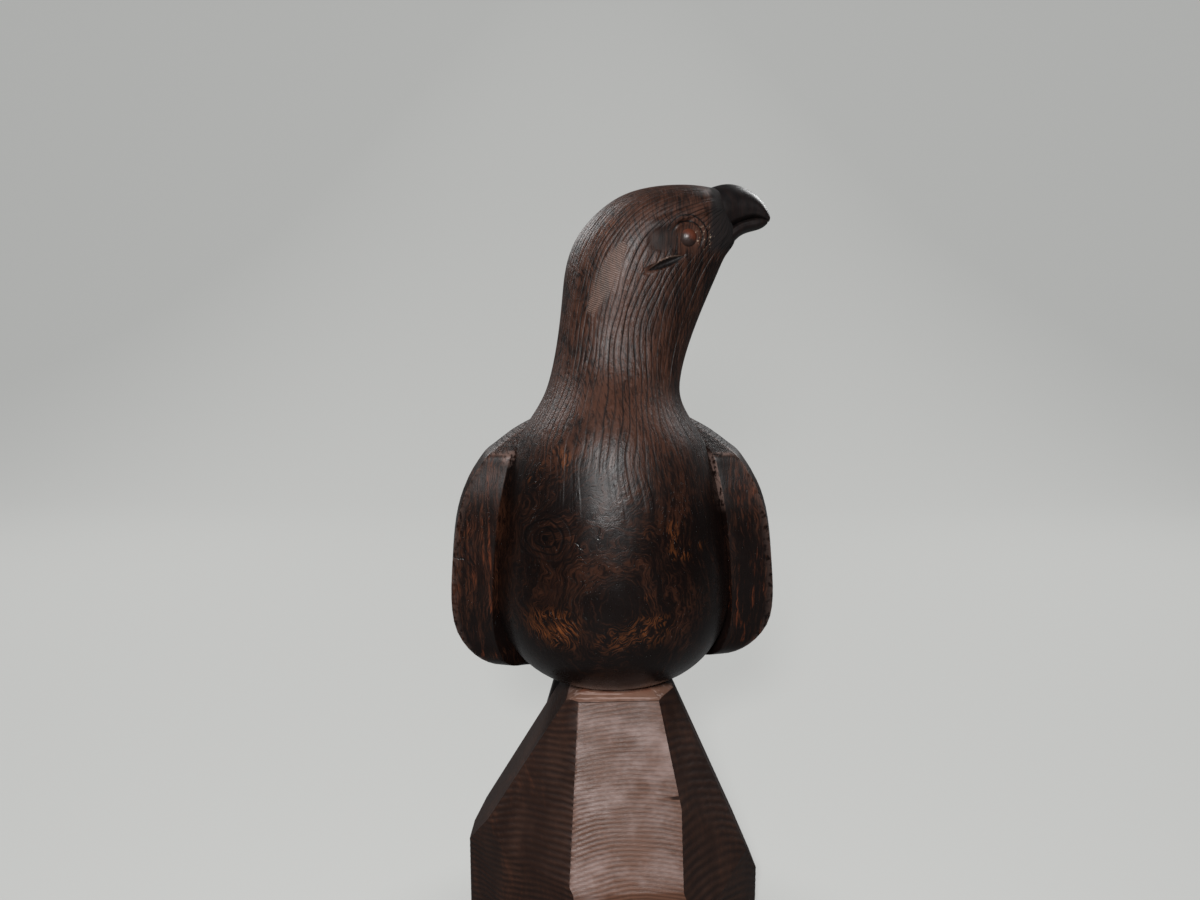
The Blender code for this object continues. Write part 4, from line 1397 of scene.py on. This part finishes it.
# %% Painted shade in the furrows, and sheen patches of the rock
FURROW_SHADE = (0.0080, 0.0035, 0.0026, 1.0)
PAINTED_SHEEN_PINK = (0.205, 0.150, 0.138, 1.0)
PALE_STROKE = (0.260, 0.185, 0.160, 1.0)
WORN_EDGE = (0.130, 0.080, 0.065, 1.0)
SEAM_RED = (0.070, 0.018, 0.008, 1.0)
unbroken = n.span(n.noise(n.stretch(place, (0.25, 0.25, 0.6)), 0.5, 3.0, 0.6), 0.35, 0.60, 0.35, 1.0)
# Painted shade in the rasp furrows, weaker on the front and the ledge
rock_furrow_shade = n.times(furrow, n.times_plus(sheen_facets, -0.44, 0.80))
wood = n.paint(wood, FURROW_SHADE, rock_furrow_shade, unbroken, n.span(depth, 0.0, 0.4))
# Painted sheen: paler patches on the front and the ledge
sheen_patches = n.span(n.noise(n.stretch(place, (0.6, 0.6, 1.1)), 0.11, 4.0, 0.65), 0.44, 0.74)
wood = n.paint(wood, PAINTED_SHEEN_PINK, sheen_patches, sheen_facets, 0.60)
pale_stroke = n.span(n.noise(n.stretch(place, (0.10, 1.3, 1.3)), 1.0, 3.0, 0.6), 0.52, 0.64)
wood = n.paint(wood, PALE_STROKE, pale_stroke, on_ledge, 0.6)
wood = n.paint(wood, WORN_EDGE, wear, n.span(n.noise(place, 0.3, 3.0), 0.40, 0.60), 0.35)
red_seam = n.times(n.span(z, 70.2, 71.4), n.span(n.noise(place, 0.35, 3.0), 0.35, 0.6))
wood = n.paint(wood, SEAM_RED, red_seam, 0.7)
n.put(shader.inputs["Base Color"], wood)

# %% Sheen and fine relief of the rock
roughness = n.span(cloud, 0.3, 0.7, 0.38, 0.50)
n.put(shader.inputs["Roughness"], n.times_plus(n.minus(1.0, sheen_facets), 0.18, roughness))
ripple = n.math("COSINE", n.times(number, math.tau))
height = n.times(n.times(ripple, depth), -0.9)
scratch = n.noise(n.stretch(place, (0.5, 0.5, 6.0)), 1.0, 3.0, 0.6)
height = n.times_plus(scratch, 0.8, height)
height = n.times_plus(n.noise(place, 1.4, 3.0), 0.3, height)
n.put(shader.inputs["Normal"], bump(n, height, 0.09))
shader.inputs["Specular IOR Level"].default_value = 0.17

# %% [markdown]
# ## Finish of the beak and the eyes
# The beak is the darkest wood of the block, rubbed quite smooth, with small pale nicks along its ridge.
# The eyes have a soft sheen, and a dull red shows in their upper part.

# %% Beak
DARK_BEAK, BROWN_BEAK = (0.0030, 0.0024, 0.0025, 1.0), (0.0070, 0.0042, 0.0038, 1.0)
PALE_NICK = (0.200, 0.170, 0.140, 1.0)
n, shader, place = start_material(finish["dark_beak"])
tone = use_group(n, figure_group, Place=place)[0]
wear = use_group(n, stroke_group)[3]
nicks = n.times(wear, n.span(n.noise(place, 1.6, 2.0), 0.58, 0.66))
wood = n.mix(n.span(tone, 0.4, 0.65), DARK_BEAK, BROWN_BEAK)
n.put(shader.inputs["Base Color"], n.paint(wood, PALE_NICK, nicks))
n.put(shader.inputs["Roughness"], n.span(n.noise(place, 0.4, 3.0), 0.3, 0.7, 0.36, 0.50))
height = n.times_plus(n.noise(place, 1.8, 3.0), 0.5, n.times(nicks, -1.0))
n.put(shader.inputs["Normal"], bump(n, height, 0.06))
shader.inputs["Specular IOR Level"].default_value = 0.22

# %% Eyes
EYE_BROWN, EYE_RED = (0.0130, 0.0062, 0.0046, 1.0), (0.0520, 0.0130, 0.0058, 1.0)
n, shader, place = start_material(finish["amber_eye"])
x, _, z = n.parts(place)
ahead, above = n.minus(x, eye_x), n.minus(z, eye_z)
upper_part = n.times_plus(n.noise(place, 0.8, 3.0), 2.2, n.times_plus(ahead, 0.6, above))
n.put(shader.inputs["Base Color"], n.mix(n.span(upper_part, 0.9, 2.2), EYE_BROWN, EYE_RED))
n.put(shader.inputs["Roughness"], n.span(n.noise(place, 1.2, 2.0), 0.3, 0.7, 0.40, 0.52))
n.put(shader.inputs["Normal"], bump(n, n.noise(place, 1.5, 3.0), 0.08))
shader.inputs["Specular IOR Level"].default_value = 0.35
print("finishes filled in")

# %% [markdown]
# ## Studio
# A wide pale sweep of paper carries the carving and curves up far behind it. Dark polish would mirror
# so much bright paper and turn grey. A photographer hangs black cloth beside the camera against that.
# Here the paper itself is dark, and glows for the camera alone. So it looks pale and even from the
# camera, and dark in every reflection.

# %% Floor
SWEEP_FRONT, SWEEP_BACK = -0.9, 0.80
SWEEP_RADIUS, SWEEP_TOP, SWEEP_HALF = 0.30, 1.1, 1.6
SWEEP_STEPS = 16
GREY_SEEN = (0.12, 0.119, 0.116, 1.0)
GREY_UNSEEN = (0.12, 0.12, 0.12, 1.0)
GLOW_SEEN, NO_GLOW = (0.99, 1.0, 0.98, 1.0), (0.0, 0.0, 0.0, 1.0)
GLOW_STRENGTH = 0.40


def make_sweep():
    profile = [(SWEEP_FRONT, 0.0), (SWEEP_BACK - SWEEP_RADIUS, 0.0)]
    for i in range(1, SWEEP_STEPS + 1):
        turn = math.pi / 2 * i / SWEEP_STEPS
        forward, upward = SWEEP_RADIUS * (1 - math.sin(turn)), SWEEP_RADIUS * (1 - math.cos(turn))
        profile.append((SWEEP_BACK - forward, upward))
    profile.append((SWEEP_BACK, SWEEP_TOP))
    vertices = [(side, y, z) for y, z in profile for side in (-SWEEP_HALF, SWEEP_HALF)]
    faces = [(2 * i, 2 * i + 1, 2 * i + 3, 2 * i + 2) for i in range(len(profile) - 1)]
    mesh = bpy.data.meshes.new("pale_sweep")
    mesh.from_pydata(vertices, [], faces)
    mesh.shade_smooth()
    sweep = link_object("pale_sweep", mesh)
    material = bpy.data.materials.new("pale_card")
    material.use_nodes = True
    paper = material.node_tree.nodes["Principled BSDF"]
    paper.inputs["Roughness"].default_value = 0.9
    paper.inputs["Specular IOR Level"].default_value = 0.1
    nodes = Nodes(material.node_tree)
    seen = material.node_tree.nodes.new("ShaderNodeLightPath").outputs["Is Camera Ray"]
    nodes.put(paper.inputs["Base Color"], nodes.mix(seen, GREY_UNSEEN, GREY_SEEN))
    nodes.put(paper.inputs["Emission Color"], nodes.mix(seen, NO_GLOW, GLOW_SEEN))
    paper.inputs["Emission Strength"].default_value = GLOW_STRENGTH
    mesh.materials.append(material)


make_sweep()


# %% [markdown]
# ## Lights
# A small soft light hangs over the lens and gives the sheen on chest, head and rock. Two wider ones
# stand behind the carving to its left and right. They draw thin rims and keep its back readable.


# %% Lights
def soft_light(name, place, aim, size, watts):
    data = bpy.data.lights.new(name, "AREA")
    data.shape = "DISK"
    data.size = size
    data.energy = watts
    light = link_object(name, data)
    light.location = place
    light.rotation_euler = (Vector(aim) - Vector(place)).to_track_quat("-Z", "Y").to_euler()


MIDDLE = (0.0, 0.0, 110 * MM)
LENS_LIGHT_PLACE = (-0.030, -0.330, 0.245)
LENS_LIGHT_SIZE, LENS_LIGHT_WATTS = 0.05, 2.5
RIM_SIDE, RIM_BEHIND, RIM_HEIGHT = 0.42, 0.45, 0.55
RIM_SIZE, RIM_WATTS = 0.35, 3.6
SKY_STRENGTH, SKY_SEEN_EXTRA = 0.07, 0.42
soft_light("lens_light", LENS_LIGHT_PLACE, MIDDLE, LENS_LIGHT_SIZE, LENS_LIGHT_WATTS)
soft_light("left_rim_light", (-RIM_SIDE, RIM_BEHIND, RIM_HEIGHT), MIDDLE, RIM_SIZE, RIM_WATTS)
soft_light("right_rim_light", (RIM_SIDE, RIM_BEHIND, RIM_HEIGHT), MIDDLE, RIM_SIZE, RIM_WATTS)
world = bpy.data.worlds.new("studio")
world.use_nodes = True
seen = world.node_tree.nodes.new("ShaderNodeLightPath").outputs["Is Camera Ray"]
brightness = Nodes(world.node_tree).times_plus(seen, SKY_SEEN_EXTRA, SKY_STRENGTH)
sky = world.node_tree.nodes["Background"]
sky.inputs["Color"].default_value = (0.97, 0.98, 1.0, 1.0)
world.node_tree.links.new(brightness, sky.inputs["Strength"])
bpy.context.scene.world = world
bpy.context.scene.view_settings.view_transform = "Standard"

# %% [markdown]
# ## Camera
# The camera stands close to the carving, a little above its shoulders, and looks slightly down. So
# near, the rock's foot looks wide, and the lens has to be wide too.

# %% Camera
SENSOR_MM, LENS_MM = 36.0, 27.03
CAMERA_PLACE = (-3.0 * MM, -225.5 * MM, 165.0 * MM)
CAMERA_TILT = math.radians(81.0)
camera_data = bpy.data.cameras.new("camera")
camera_data.sensor_width = SENSOR_MM
camera_data.lens = LENS_MM
camera = link_object("camera", camera_data)
camera.location = CAMERA_PLACE
camera.rotation_euler = (CAMERA_TILT, 0.0, 0.0)
bpy.context.scene.camera = camera
